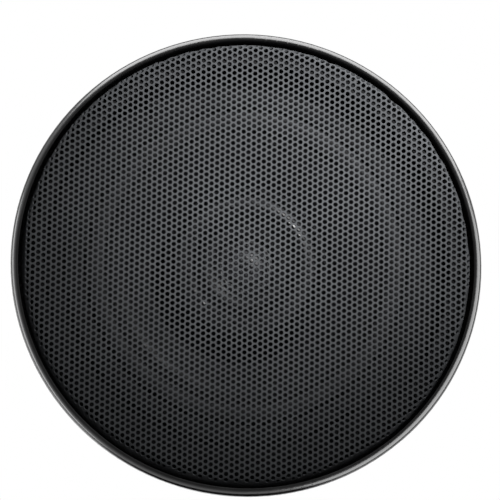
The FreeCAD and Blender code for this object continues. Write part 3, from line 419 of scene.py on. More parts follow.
SOLDER_MASK = Finish(
    "board", dark=(0.014, 0.10, 0.04), light=(0.030, 0.17, 0.07), rough=(0.28, 0.42),
    grain=0.8 * MM, height=0.015 * MM, patch=0.008,
)
BLUE_SLEEVE = Finish(
    "capacitor", dark=(0.03, 0.05, 0.16), light=(0.06, 0.09, 0.25), rough=(0.25, 0.36),
    grain=0.6 * MM, height=0.01 * MM, patch=0.006,
)
WHITE_CERAMIC = Finish(
    "resistor", dark=(0.68, 0.67, 0.62), light=(0.82, 0.81, 0.77), rough=(0.7, 0.85),
    grain=0.35 * MM, height=0.04 * MM, patch=0.004, relief=Relief.CELLS,
)
TERMINAL_PLASTIC = Finish(
    "terminal", dark=(0.030, 0.16, 0.06), light=(0.050, 0.23, 0.09), rough=(0.36, 0.48),
    grain=0.3 * MM, height=0.012 * MM, patch=0.006,
)


def new_piece(name: str, mesh: bpy.types.Mesh) -> Piece:
    """Puts a mesh in the scene as a piece at the origin.

    Args:
        name: The piece's name.
        mesh: Its mesh, with its place in its vertices.

    Returns:
        The new object.
    """
    mesh.name = name
    piece = bpy.data.objects.new(name, mesh)
    bpy.context.scene.collection.objects.link(piece)
    return piece


def worked_piece(name: str, work: Work) -> Piece:
    """Ends the work on a mesh and puts it in the scene as a piece.

    Args:
        name: The piece's name.
        work: The worked mesh, which is freed.

    Returns:
        The new object.
    """
    mesh = bpy.data.meshes.new(name)
    work.to_mesh(mesh)
    work.free()
    return new_piece(name, mesh)


def smooth(mesh: bpy.types.Mesh, angle: float) -> None:
    """Shades a mesh smooth, with sharp edges beyond an angle in degrees."""
    mesh.shade_smooth()
    mesh.set_sharp_from_angle(angle=math.radians(angle))


def paint(piece: Piece, finish: Finish) -> None:
    """Gives all of an object's slots one finish.

    Args:
        piece: The object.
        finish: Its finish.
    """
    if not piece.material_slots:
        piece.data.materials.append(None)
    for slot in piece.material_slots:
        slot.material = finish.material()


def fix(piece: Piece, finish: Finish, body: Body, *nodes: str) -> Piece:
    """Dresses a piece, puts it on its body and lets it stand for CAD nodes.

    Args:
        piece: The finished piece.
        finish: Its finish.
        body: The body it rides on.
        nodes: The CAD nodes it stands for.

    Returns:
        The same piece.
    """
    paint(piece, finish)
    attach(piece, body.value)
    if nodes:
        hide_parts(*nodes)
    LOG.info("%s: %d faces", piece.name, len(piece.data.polygons))
    return piece


def dress_nodes(finish: Finish, *names: str) -> None:
    """Gives CAD nodes that keep their shape a finish.

    Args:
        finish: The finish.
        names: The nodes.
    """
    for name in names:
        paint(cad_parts[name], finish)
        LOG.info("%s: kept as it is, with finish %s", name, finish.slot)


def bake_modifiers(piece: Piece) -> None:
    """Turns a piece's modifiers into its plain mesh.

    Args:
        piece: The piece.
    """
    graph = bpy.context.evaluated_depsgraph_get()
    mesh = bpy.data.meshes.new_from_object(piece.evaluated_get(graph))
    mesh.name = piece.name
    piece.modifiers.clear()
    piece.data = mesh


def eased(
    node: str, finish: Finish, angle: float, edge: float = 0.0, body: Body = Body.CABINET
) -> Piece:
    """Stands a smooth copy with softened edges for a CAD node.

    Args:
        node: The CAD node.
        finish: Its finish.
        angle: The angle in degrees past which an edge stays sharp.
        edge: The width to which sharp edges are rounded, in metres.
        body: Its body.

    Returns:
        The new piece.
    """
    work = bmesh.new()
    work.from_mesh(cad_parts[node].data)
    bmesh.ops.remove_doubles(work, verts=work.verts, dist=WELD_DISTANCE)
    bmesh.ops.dissolve_degenerate(work, edges=work.edges, dist=SLIVER_WIDTH)
    if edge:
        bmesh.ops.dissolve_limit(
            work, angle_limit=FLAT_ANGLE, verts=work.verts, edges=work.edges
        )
    piece = worked_piece(f"{node}_eased", work)
    if edge:
        bevel = piece.modifiers.new("edges", "BEVEL")
        bevel.width = edge
        bevel.segments = ROUNDING_STEPS
        bevel.limit_method = "ANGLE"
        bevel.angle_limit = ROUNDED_ANGLE
        bake_modifiers(piece)
    smooth(piece.data, angle)
    return fix(piece, finish, body, node)


def true_round(piece: Piece, ring: float, level: float, radius: float) -> None:
    """Gives the corners on a ring-shaped round the exact normals of that round.

    Args:
        piece: A piece with smooth shading.
        ring: The radius of the circle on which the round's middle runs.
        level: That circle's level.
        radius: The round's radius.
    """
    mesh = piece.data
    normals = [corner.vector.copy() for corner in mesh.corner_normals]
    for face in mesh.polygons:
        for index in face.loop_indices:
            place = mesh.vertices[mesh.loops[index].vertex_index].co
            arm = place - place.xy.normalized().to_3d() * ring - Vector((0, 0, level))
            outward = arm.normalized()
            near = abs(arm.length - radius) < ROUND_TOLERANCE
            if near and outward.dot(face.normal) > ROUND_FACING:
                normals[index] = outward
    mesh.normals_split_custom_set(normals)


def turned_vertex(work: Work, radius: float, height: float, turn: float) -> bmesh.types.BMVert:
    """Adds a vertex at a radius, a height and an angle about Z."""
    return work.verts.new((radius * math.cos(turn), radius * math.sin(turn), height))


def skin(work: Work, loops: list[list[bmesh.types.BMVert]]) -> None:
    """Joins each closed loop of vertices to the next with faces.

    Args:
        work: The mesh.
        loops: The loops in their order, all with as many vertices.
    """
    for low, high in zip(loops, loops[1:]):
        for step, vertex in enumerate(low):
            after = (step + 1) % len(low)
            work.faces.new((vertex, low[after], high[after], high[step]))


def lathe(name: str, profile: Profile, steps: int) -> Piece:
    """Turns a closed outline of radius and height about Z.

    Args:
        name: The piece's name.
        profile: The outline's corners, in metres.
        steps: How many steps make the full turn.

    Returns:
        The ring-shaped piece.
    """
    work = bmesh.new()
    turns = [FULL_TURN * step / steps for step in range(steps)]
    rings = [[turned_vertex(work, *point, turn) for point in profile] for turn in turns]
    skin(work, [*rings, rings[0]])
    bmesh.ops.recalc_face_normals(work, faces=work.faces)
    return worked_piece(name, work)


def disc(name: str, radius: float, segments: int, placing: Matrix) -> Piece:
    """Makes a flat disc.

    Args:
        name: The piece's name.
        radius: The disc's radius before it is placed.
        segments: How many sides its edge has.
        placing: What turns, stretches and moves it into place.

    Returns:
        The new piece.
    """
    work = bmesh.new()
    bmesh.ops.create_circle(work, cap_ends=True, segments=segments, radius=radius)
    piece = worked_piece(name, work)
    piece.data.transform(placing)
    return piece


def arc(centre: Pair, radius: float, start: float, stop: float, steps: int) -> Profile:
    """Points on an arc of an outline.

    Args:
        centre: The arc's middle.
        radius: Its radius.
        start: The angle at which it starts, in degrees.
        stop: The angle at which it ends.
        steps: How many steps it takes.

    Returns:
        The points, with both ends.
    """
    x, y = centre
    turns = [math.radians(start + (stop - start) * index / steps) for index in range(steps + 1)]
    return [(x + radius * math.cos(turn), y + radius * math.sin(turn)) for turn in turns]


def blend_by_radius(piece: Piece, fixed: float, moving: float) -> None:
    """Lays a ring's vertices onto their radius and height, bakes its transform and puts them back;
    the ring is not bent.

    Args:
        piece: The ring, with no parent.
        fixed: Not used.
        moving: Not used.
    """
    places = [vertex.co.copy() for vertex in piece.data.vertices]
    for vertex in piece.data.vertices:
        vertex.co = (vertex.co.xy.length, 0, vertex.co.z)
    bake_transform(piece)
    for vertex, place in zip(piece.data.vertices, places):
        vertex.co = place
    piece.data.update()


class NodeGroup(Tree):
    """A Geometry Nodes tree with a named input for each value that it is run with."""

    KINDS = {
        int: "NodeSocketInt",
        float: "NodeSocketFloat",
        tuple: "NodeSocketVector",
        Vector: "NodeSocketVector",
        Piece: "NodeSocketObject",
        bpy.types.Material: "NodeSocketMaterial",
    }

    def __init__(self, name: str, values: dict[str, Value]) -> None:
        """Makes a tree with a geometry output and an input for each value.

        Args:
            name: The tree's name.
            values: Each input's value by name.
        """
        super().__init__(bpy.data.node_groups.new(name, "GeometryNodeTree"))
        sockets = self.tree.interface
        self.values: dict[str, Value] = {}
        for label, value in values.items():
            kind = self.KINDS[type(value)]
            socket = sockets.new_socket(label, in_out="INPUT", socket_type=kind)
            self.values[socket.identifier] = value
        sockets.new_socket("Geometry", in_out="OUTPUT", socket_type="NodeSocketGeometry")
        self.source = self.add("NodeGroupInput")
        self.target = self.add("NodeGroupOutput")

    def given(self, label: str) -> Socket:
        """The socket of a named input."""
        return self.source.outputs[label]

    def joined(self, *parts: Socket) -> Socket:
        """Several geometries as one.

        Args:
            parts: The geometries in their order.

        Returns:
            The joined geometry.
        """
        node = self.add("GeometryNodeJoinGeometry")
        for part in parts:
            self.fill(node.inputs[0], part)
        return node.outputs[0]

    def turned(self, geometry: Socket, angle: Socket, shift: Socket) -> Socket:
        """A geometry turned about Z and then shifted.

        Args:
            geometry: The geometry.
            angle: The turn, in radians.
            shift: The shift.

        Returns:
            The placed geometry.
        """
        angles = self.add("ShaderNodeCombineXYZ", Z=angle)
        rotation = self.add("FunctionNodeEulerToRotation", Euler=angles.outputs[0])
        node = self.add("GeometryNodeTransform", Geometry=geometry, Translation=shift)
        self.feed(node, Rotation=rotation.outputs[0])
        return node.outputs[0]

    def row(self, first: Socket) -> Socket:
        """The points of a row, by the inputs Count and Step.

        Args:
            first: The first point's place.

        Returns:
            The points.
        """
        node = self.add("GeometryNodeMeshLine", Count=self.given("Count"), Start_Location=first)
        self.feed(node, Offset=self.given("Step"))
        return node.outputs[0]

    def finish(self, geometry: Socket) -> None:
        """Ends the tree with real geometry and its material.

        Args:
            geometry: What the tree has made.
        """
        real = self.add("GeometryNodeRealizeInstances", Geometry=geometry).outputs[0]
        dressed = self.add("GeometryNodeSetMaterial", Geometry=real)
        self.feed(dressed, Material=self.given("Material"))
        self.fill(self.target.inputs[0], dressed.outputs[0])

    def make(self, name: str) -> Piece:
        """Runs the tree with its values and keeps the result as a plain mesh.

        Args:
            name: The piece's name.

        Returns:
            The new piece.
        """
        piece = new_piece(name, bpy.data.meshes.new(name))
        modifier = piece.modifiers.new("nodes", "NODES")
        modifier.node_group = self.tree
        for identifier, value in self.values.items():
            modifier[identifier] = value
        bake_modifiers(piece)
        return piece


@dataclass
class Grille:
    """The perforated steel pan over the front.

    A hole's size is the reach of its corners. With eight of them, its area is that of a round hole
    1.85 mm across.
    """

    flat: float = 89.55 * MM
    bend: float = 4.0 * MM
    sheet: float = 0.8 * MM
    skirt: float = 3.0 * MM
    pitch: float = 2.5 * MM
    stagger: float = math.sqrt(3) / 2
    hole: float = 0.975 * MM
    sides: int = 8
    perforated: float = 93.2 * MM
    turn: float = 1.14
    shift: Pair = (-0.25 * MM, 0.7 * MM)
    strip_columns: int = 3
    spare_columns: int = 3
    spare_rows: int = 5
    edge_step: float = 1.5
    weld: float = 0.02 * MM
    sharp: float = 50.0

    @property
    def column(self) -> float:
        """The distance between two columns of holes."""
        return self.pitch * self.stagger

    @property
    def strip_width(self) -> float:
        """The width of a strip of a few columns."""
        return self.strip_columns * self.column

    @property
    def blank_radius(self) -> float:
        """The radius of the sheet before its edge is folded."""
        return self.flat + (self.bend - self.sheet / 2) * math.pi / 2 + self.skirt

    @property
    def centre(self) -> Vector:
        """The blank's centre, as the pattern of holes sees it."""
        back = Matrix.Rotation(math.radians(-self.turn), 3, "Z")
        return back @ Vector((-self.shift[0], -self.shift[1], 0))

    def chord(self, across: float) -> list[Vector]:
        """Points on a line across the blank.

        Args:
            across: The line's distance from the pattern's middle.

        Returns:
            The points, from low to high.
        """
        half = math.sqrt(self.blank_radius**2 - (across - self.centre.x) ** 2)
        count = max(1, round(2 * half / self.pitch))
        heights = [self.centre.y + half * (2 * step / count - 1) for step in range(count + 1)]
        return [Vector((across, height, 0)) for height in heights]

    def rim(self, start: Vector, stop: Vector) -> list[Vector]:
        """Points on the blank's edge, clockwise between two points on it.

        Args:
            start: The first point.
            stop: The last point.

        Returns:
            The points between them.
        """
        first = math.atan2(start.y - self.centre.y, start.x - self.centre.x)
        last = math.atan2(stop.y - self.centre.y, stop.x - self.centre.x)
        span = (first - last) % FULL_TURN
        count = max(1, round(math.degrees(span) / self.edge_step))
        turns = [first - span * step / count for step in range(1, count)]
        arms = [Vector((math.cos(turn), math.sin(turn), 0)) for turn in turns]
        return [self.centre + self.blank_radius * arm for arm in arms]

    def strips(self) -> Piece:
        """The outlines of the strips into which the blank is cut for filling.

        Returns:
            A template of edges, to be removed once the pan is made.
        """
        reach = int((self.blank_radius - self.column) / self.strip_width)
        numbers = range(-reach, reach + 1)
        start = 0.5 / self.strip_columns
        lines = [self.chord((number - start) * self.strip_width) for number in numbers]
        outlines = [[*lines[0][::-1], *self.rim(lines[0][0], lines[0][-1])]]
        for left, right in zip(lines, lines[1:]):
            top, bottom = self.rim(left[-1], right[-1]), self.rim(right[0], left[0])
            outlines.append([*left, *top, *right[::-1], *bottom])
        outlines.append([*lines[-1], *self.rim(lines[-1][-1], lines[-1][0])])
        points: list[Vector] = []
        edges: list[tuple[int, int]] = []
        for outline in outlines:
            first = len(points)
            count = len(outline)
            points += outline
            edges += [(first + step, first + (step + 1) % count) for step in range(count)]
        mesh = bpy.data.meshes.new("strips")
        mesh.from_pydata(points, edges, [])
        return new_piece("strips_template", mesh)

    def holes(self, group: NodeGroup) -> Socket:
        """Lays out the outlines of the staggered holes.

        Args:
            group: The pan's tree.

        Returns:
            The outlines.
        """
        pitch = group.given("Pitch")
        column = group.calc("MULTIPLY", pitch, self.stagger)
        columns, rows = group.given("Columns"), group.given("Rows")
        grid = group.add(
            "GeometryNodeMeshGrid",
            Size_X=group.calc("MULTIPLY", column, group.calc("SUBTRACT", columns, 1)),
            Size_Y=group.calc("MULTIPLY", pitch, group.calc("SUBTRACT", rows, 1)),
            Vertices_X=columns,
            Vertices_Y=rows,
        )
        place = group.add("GeometryNodeInputPosition").outputs[0]
        across = group.add("ShaderNodeSeparateXYZ", Vector=place).outputs["X"]
        number = group.calc("ROUND", group.calc("DIVIDE", across, column))
        odd = group.calc("FLOORED_MODULO", number, 2)
        half_step = group.calc("MULTIPLY", odd, group.calc("MULTIPLY", pitch, 0.5))
        offset = group.add("ShaderNodeCombineXYZ", Y=half_step).outputs[0]
        grid = group.add("GeometryNodeSetPosition", Geometry=grid.outputs["Mesh"], Offset=offset)
        reach = group.add("ShaderNodeVectorMath", {"operation": "DISTANCE"})
        group.fill(reach.inputs[0], place)
        group.fill(reach.inputs[1], group.given("Centre"))
        limit = group.given("Perforated Radius")
        outside = group.calc("GREATER_THAN", reach.outputs["Value"], limit)
        points = group.add("GeometryNodeDeleteGeometry", {"domain": "POINT"}, Selection=outside)
        group.feed(points, Geometry=grid.outputs[0])
        hole = group.add("GeometryNodeCurvePrimitiveCircle", Radius=group.given("Hole Radius"))
        group.feed(hole, Resolution=group.given("Hole Sides"))
        placed = group.add("GeometryNodeInstanceOnPoints", Points=points.outputs[0])
        group.feed(placed, Instance=hole.outputs[0])
        return group.add("GeometryNodeRealizeInstances", Geometry=placed.outputs[0]).outputs[0]

    def welded(self, group: NodeGroup, geometry: Socket) -> Socket:
        """Joins the corners that meet."""
        node = group.add("GeometryNodeMergeByDistance", Geometry=geometry, Distance=self.weld)
        return node.outputs[0]

    def filled(self, group: NodeGroup, holes: Socket) -> Socket:
        """Fills each strip of the blank round its holes and joins the strips.

        Args:
            group: The pan's tree.
            holes: The outlines of the holes.

        Returns:
            The flat blank, turned as the photograph shows it.
        """
        strips = group.add("GeometryNodeObjectInfo", Object=group.given("Strips"))
        outlines = group.add("GeometryNodeMeshToCurve", Mesh=strips.outputs["Geometry"])
        lines = group.joined(holes, outlines.outputs[0])
        place = group.add("GeometryNodeInputPosition").outputs[0]
        across = group.add("ShaderNodeSeparateXYZ", Vector=place).outputs["X"]
        along = group.calc("SUBTRACT", across, group.given("Strip Start"))
        strip = group.calc("FLOOR", group.calc("DIVIDE", along, group.given("Strip Width")))
        filled = group.add("GeometryNodeFillCurve", Curve=lines, Group_ID=strip)
        blank = self.welded(group, filled.outputs[0])
        return group.turned(blank, group.given("Turn"), group.given("Shift"))

    def thickened(self, group: NodeGroup, blank: Socket) -> Socket:
        """Gives the flat blank the sheet's thickness.

        Args:
            group: The pan's tree.
            blank: The flat blank.

        Returns:
            The blank as a closed solid.
        """
        rise = group.add("ShaderNodeCombineXYZ", Z=group.given("Sheet")).outputs[0]
        raised = group.add("GeometryNodeExtrudeMesh", Mesh=blank, Offset=rise)
        group.feed(raised, Offset_Scale=1.0, Individual=False)
        face = group.add("GeometryNodeFlipFaces", Mesh=blank)
        return self.welded(group, group.joined(raised.outputs["Mesh"], face.outputs[0]))

    def folded(self, group: NodeGroup, solid: Socket) -> Socket:
        """Folds the blank's edge up round the bend and sets the pan at its level.

        Args:
            group: The pan's tree.
            solid: The flat solid.

        Returns:
            The pan.
        """
        place = group.add("GeometryNodeInputPosition").outputs[0]
        parts = group.add("ShaderNodeSeparateXYZ", Vector=place).outputs
        flat = group.add("ShaderNodeCombineXYZ", X=parts["X"], Y=parts["Y"]).outputs[0]
        length = group.add("ShaderNodeVectorMath", {"operation": "LENGTH"}, Vector=flat)
        reach = length.outputs["Value"]
        bend = group.given("Bend Radius")
        edge = group.given("Flat Radius")
        middle = group.calc("SUBTRACT", bend, group.calc("MULTIPLY", group.given("Sheet"), 0.5))
        past = group.calc("MAXIMUM", group.calc("SUBTRACT", reach, edge), 0.0)
        turn = group.calc("MINIMUM", group.calc("DIVIDE", past, middle), math.pi / 2)
        beyond = group.calc("SUBTRACT", past, group.calc("MULTIPLY", turn, middle))
        arm = group.calc("SUBTRACT", bend, parts["Z"])
        inner = group.calc("MINIMUM", reach, edge)
        radius = group.calc("ADD", inner, group.calc("MULTIPLY", arm, group.calc("SINE", turn)))
        drop = group.calc("MULTIPLY", arm, group.calc("COSINE", turn))
        rise = group.calc("ADD", group.calc("SUBTRACT", bend, drop), beyond)
        ratio = group.calc("DIVIDE", radius, group.calc("MAXIMUM", reach, TINY))
        target = group.add(
            "ShaderNodeCombineXYZ",
            X=group.calc("MULTIPLY", parts["X"], ratio),
            Y=group.calc("MULTIPLY", parts["Y"], ratio),
            Z=group.calc("ADD", rise, group.given("Level")),
        ).outputs[0]
        return group.add("GeometryNodeSetPosition", Geometry=solid, Position=target).outputs[0]

    def build(self) -> None:
        """Makes the pan and lets it stand for the CAD grille."""
        strips = self.strips()
        group = NodeGroup(
            "perforated_pan",
            {
                "Strips": strips,
                "Strip Width": self.strip_width,
                "Strip Start": -self.column / 2,
                "Columns": 2 * int(self.perforated / self.column) + self.spare_columns,
                "Rows": 2 * int(self.perforated / self.pitch) + self.spare_rows,
                "Pitch": self.pitch,
                "Hole Radius": self.hole,
                "Hole Sides": self.sides,
                "Perforated Radius": self.perforated,
                "Centre": self.centre,
                "Flat Radius": self.flat,
                "Bend Radius": self.bend,
                "Sheet": self.sheet,
                "Turn": math.radians(self.turn),
                "Shift": (*self.shift, 0.0),
                "Level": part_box("grille")[0].z,
                "Material": GRILLE_COAT.material(),
            },
        )
        blank = self.filled(group, self.holes(group))
        group.finish(self.folded(group, self.thickened(group, blank)))
        piece = group.make("grille_pan")
        bpy.data.objects.remove(strips)
        smooth(piece.data, self.sharp)
        fix(piece, GRILLE_COAT, Body.CABINET, "grille")
        dress_nodes(FOAM, "grille_seal")


@dataclass
class Screws:
    """Alike screws on a ring or in a row, by default with a pan head and a cross recess."""

    name: str
    node: str
    finish: Finish
    length: float
    round_over: float
    head: float = 3.5 * MM
    head_height: float = 2.4 * MM
    shank: float = 2.0 * MM
    drive: Drive = Drive.CROSS
    drive_size: float = 1.9 * MM
    drive_depth: float = 1.4 * MM
    arm_share: float = 0.22
    recess_taper: float = 0.9
    shoulder: float = 0.3
    segments: int = 48
    sharp: float = 35.0

    def recess(self, turn: float) -> float:
        """The recess's reach.

        Args:
            turn: The angle about the screw's axis.

        Returns:
            The reach at that angle.
        """
        size = self.drive_size
        if self.drive is Drive.HEX:
            side = math.pi / 3
            return size * math.cos(side / 2) / math.cos((turn + side / 2) % side - side / 2)
        if self.drive is Drive.CROSS:
            turn = (turn + math.pi / 4) % (math.pi / 2) - math.pi / 4
        along = max(abs(math.cos(turn)), TINY)
        across = max(abs(math.sin(turn)), TINY)
        return min(size / along, self.arm_share * size / across)

    def template(self) -> Piece:
        """One screw that points up from a head whose face is at height 0.

        Returns:
            The screw, to be repeated and then removed.
        """
        work = bmesh.new()
        chamfer = self.shoulder * self.round_over
        end = self.head_height + self.length
        outer = [
            (self.head - self.round_over, 0.0),
            (self.head - chamfer, chamfer),
            (self.head, self.round_over),
            (self.head, self.head_height),
            (self.shank, self.head_height),
            (self.shank, end - self.shank / 2),
            (self.shank / 2, end),
        ]
        turns = [FULL_TURN * (step + 0.5) / self.segments for step in range(self.segments)]
        rings = [[(self.recess_taper * self.recess(turn), self.drive_depth) for turn in turns]]
        rings += [[(self.recess(turn), 0.0) for turn in turns]]
        rings += [[point] * self.segments for point in outer]
        loops = [
            [turned_vertex(work, *point, turn) for point, turn in zip(ring, turns)]
            for ring in rings
        ]
        skin(work, loops)
        for loop, height in ((loops[0], self.drive_depth), (loops[-1], end)):
            centre = work.verts.new((0, 0, height))
            for step in range(self.segments):
                work.faces.new((centre, loop[step], loop[(step + 1) % self.segments]))
        bmesh.ops.recalc_face_normals(work, faces=work.faces)
        return worked_piece(f"{self.name}_template", work)

    def ring(self, group: NodeGroup) -> Socket:
        """The points of a ring, by the inputs Count, Circle, Level and Turn.

        Args:
            group: The layout's tree.

        Returns:
            The points.
        """
        circle = group.add("GeometryNodeMeshCircle", Vertices=group.given("Count"))
        group.feed(circle, Radius=group.given("Circle"))
        lift = group.add("ShaderNodeCombineXYZ", Z=group.given("Level"))
        return group.turned(circle.outputs[0], group.given("Turn"), lift.outputs[0])

    def place(self, values: dict[str, Value]) -> None:
        """Sets the screws and lets them stand for the CAD screws.

        Args:
            values: The layout's inputs: Axis and Count, with Circle, Level and Turn for a ring, or
                First and Step for a row.
        """
        template = self.template()
        given = {"Screw": template, "Material": self.finish.material(), **values}
        group = NodeGroup(f"{self.name}_layout", given)
        points = self.ring(group) if "Circle" in values else group.row(group.given("First"))
        axis = group.given("Axis")
        pointed = group.add("FunctionNodeAlignRotationToVector", {"axis": "Z"}, Vector=axis)
        screw = group.add("GeometryNodeObjectInfo", Object=group.given("Screw"))
        placed = group.add("GeometryNodeInstanceOnPoints", Points=points)
        group.feed(placed, Instance=screw.outputs["Geometry"], Rotation=pointed.outputs[0])
        group.finish(placed.outputs[0])
        piece = group.make(self.name)
        bpy.data.objects.remove(template)
        smooth(piece.data, self.sharp)
        fix(piece, self.finish, Body.CABINET, self.node)


@dataclass
class Cabinet:
    """The front baffle with its rim, the shell behind it and their seals."""

    screw_circle: float = 88.0 * MM
    screw_count: int = 6
    rim_ring: float = 95.6 * MM
    rim_round: float = 2.7 * MM
    rim_inside: float = 95.25 * MM

    def build(self) -> None:
        """Smooths the mouldings and sets the baffle's screws."""
        baffle = eased("front_baffle", RIM_GLOSS, angle=32)
        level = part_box("front_baffle")[0].z + self.rim_round
        true_round(baffle, self.rim_ring, level, self.rim_round)
        # Faces inside the rim take the matt black, whose darker tint is painted shade behind the
        # grille.
        baffle.data.materials.append(BAFFLE_SHADED_MATT.material())
        for face in baffle.data.polygons:
            face.material_index = int(face.center.xy.length < self.rim_inside)
        eased("enclosure_shell", SHELL_TEXTURE, angle=32)
        screws = Screws(
            "baffle_screw_ring", "baffle_screws", BLACK_ZINC, length=22.0 * MM, round_over=0.9 * MM
        )
        screws.place(
            {
                "Count": self.screw_count,
                "Circle": self.screw_circle,
                "Level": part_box("baffle_screws")[0].z,
                "Turn": 0.0,
                "Axis": (0, 0, 1),
            }
        )
        dress_nodes(FOAM, "baffle_seal")
        dress_nodes(FELT, "damping_lining")


@dataclass
class Woofer:
    """The woofer: frame, cone, surround, spider, voice coil and motor."""

    cone_radius: float = 57.5 * MM
    roll_span: float = 10.0 * MM
    roll_radius: float = 5.6 * MM
    roll_steps: int = 18
    landing: float = 4.0 * MM
    cone_rim: float = 3.5 * MM
    skin: float = 0.8 * MM
    spider_depth: float = 31.5 * MM
    spider_inner: float = 13.6 * MM
    spider_outer: float = 39.5 * MM
    spider_ledge: float = 5.5 * MM
    spider_wave: float = 1.2 * MM
    spider_skin: float = 0.6 * MM
    spider_rolls: int = 6
    roll_samples: int = 6
    screw_circle: float = 79.0 * MM
    screw_count: int = 4
    screw_turn: float = 61.0
    steps: int = 128
    sharp: float = 60.0

    def soft_ring(
        self, name: str, profile: Profile, reach: Pair, finish: Finish, node: str
    ) -> None:
        """Makes a ring between the cabinet and the cone, put on neither body.

        Args:
            name: The piece's name.
            profile: The ring's outline.
            reach: The radius meant for the cabinet and the one meant for the cone, handed to
                blend_by_radius, which does not use them.
            finish: Its finish.
            node: The CAD node it stands for.
        """
        piece = lathe(name, profile, self.steps)
        smooth(piece.data, self.sharp)
        blend_by_radius(piece, *reach)
        paint(piece, finish)
        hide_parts(node)
        LOG.info("%s: %d faces, bends with the cone", piece.name, len(piece.data.polygons))

    def surround(self) -> None:
        """Makes the rubber roll, which meets the cone at its inner edge."""
        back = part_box("woofer_frame")[0].z
        front = back - self.skin
        half = self.roll_span / 2
        drop = math.sqrt(self.roll_radius**2 - half**2)
        edge = self.cone_radius + self.roll_span
        lift = math.degrees(math.asin(drop / self.roll_radius))
        centre = (self.cone_radius + half, front + drop)
        inside = self.roll_radius - self.skin
        low = math.degrees(math.asin((drop - self.skin) / inside))
        outer, inner = edge + self.landing, self.cone_radius - self.cone_rim
        profile = [(outer, back), (outer, front)]
        profile += arc(centre, self.roll_radius, -lift, lift - 180, self.roll_steps)
        profile += [(inner, front), (inner, back)]
        profile += arc(centre, inside, low - 180, -low, self.roll_steps)
        reach = (edge, self.cone_radius)
        self.soft_ring("surround_roll", profile, reach, ROLL_RUBBER, "woofer_surround")

    def spider(self) -> None:
        """Makes the corrugated cloth, which meets the voice coil at its inner edge."""
        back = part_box("woofer_frame")[0].z + self.spider_depth
        front = back - self.spider_skin
        edge = self.spider_outer - self.spider_ledge
        samples = self.spider_rolls * self.roll_samples
        waves: Profile = []
        for index in range(samples + 1):
            share = index / samples
            radius = self.spider_inner + (edge - self.spider_inner) * share
            swing = math.sin(math.pi * self.spider_rolls * share)
            waves.append((radius, front + self.spider_wave * swing))
        behind = [(radius, height + self.spider_skin) for radius, height in reversed(waves)]
        profile = [*waves, (self.spider_outer, front), (self.spider_outer, back), *behind]
        reach = (edge, self.spider_inner)
        self.soft_ring("spider_cloth", profile, reach, SPIDER_CLOTH, "woofer_spider")

    def build(self) -> None:
        """Makes the soft rings and dresses the rest of the woofer."""
        self.surround()
        self.spider()
        eased("woofer_cone", CONE_SKIN, angle=40, body=Body.CONE)
        eased("woofer_frame", FRAME_ENAMEL, angle=32)
        eased("woofer_trim", FOAM, angle=32, edge=0.4 * MM)
        screws = Screws(
            "woofer_screw_ring", "woofer_screws", BLACK_ZINC, length=12.0 * MM, round_over=1.2 * MM
        )
        screws.place(
            {
                "Count": self.screw_count,
                "Circle": self.screw_circle,
                "Level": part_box("woofer_screws")[0].z,
                "Turn": math.radians(self.screw_turn),
                "Axis": (0, 0, 1),
            }
        )
        dress_nodes(FOAM, "woofer_seal")
        dress_nodes(AMBER_FILM, "voice_coil_former")
        dress_nodes(COPPER_WIRE, "voice_coil_winding")
        dress_nodes(ZINC_PLATE, "woofer_top_plate", "woofer_yoke")
        dress_nodes(FERRITE, "woofer_magnet")
        dress_nodes(FIBRE_BOARD, "woofer_terminal_strip")
        dress_nodes(TINNED, "woofer_terminal_lugs")


@dataclass
class Tweeter:
    """The dome tweeter in its waveguide on the post."""

    def build(self) -> None:
        """Smooths what shows and dresses the rest."""
        eased("tweeter_waveguide", WAVEGUIDE_SATIN, angle=35)
        eased("tweeter_dome", DOME_SKIN, angle=50)
        eased("tweeter_housing", WAVEGUIDE_SATIN, angle=32, edge=0.3 * MM)
        dress_nodes(COPPER_WIRE, "tweeter_coil")
        dress_nodes(ZINC_PLATE, "tweeter_plate", "tweeter_yoke", "post_nut")
        dress_nodes(NICKEL, "tweeter_magnet")
        dress_nodes(ALUMINIUM, "tweeter_post")


@dataclass
class Crossover:
    """The crossover board under the deck."""

    def build(self) -> None:
        """Dresses the board and what it carries."""
        dress_nodes(SOLDER_MASK, "crossover_board")
        dress_nodes(ZINC_PLATE, "board_screws")
        dress_nodes(COPPER_WIRE, "crossover_coils")
        eased("crossover_capacitors", BLUE_SLEEVE, angle=35, edge=0.6 * MM)
        eased("crossover_resistors", WHITE_CERAMIC, angle=35, edge=0.5 * MM)


@dataclass
class Terminal:
    """The cup in the deck with its screw terminal."""

    poles: int = 4
    pole_pitch: float = 5.08 * MM

    def build(self) -> None:
        """Softens the mouldings and sets the clamp screws."""
        eased("terminal_cup", SHELL_TEXTURE, angle=30, edge=0.4 * MM)
        eased("terminal_header", TERMINAL_PLASTIC, angle=30, edge=0.2 * MM)
        eased("terminal_plug", TERMINAL_PLASTIC, angle=30, edge=0.25 * MM)
        dress_nodes(FOAM, "terminal_seal")
        low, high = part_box("terminal_plug_screws")
        screws = Screws(
            "clamp_screw_row", "terminal_plug_screws", ZINC_PLATE, length=1.2 * MM,
            round_over=0.15 * MM, head=1.4 * MM, head_height=0.8 * MM, shank=1.1 * MM,
            drive=Drive.SLOT, drive_size=1.25 * MM, drive_depth=0.5 * MM,
        )
        first = (-self.pole_pitch * (self.poles - 1) / 2, high.y, (low.z + high.z) / 2)
        step = (self.pole_pitch, 0, 0)
        screws.place({"Count": self.poles, "First": first, "Step": step, "Axis": (0, -1, 0)})


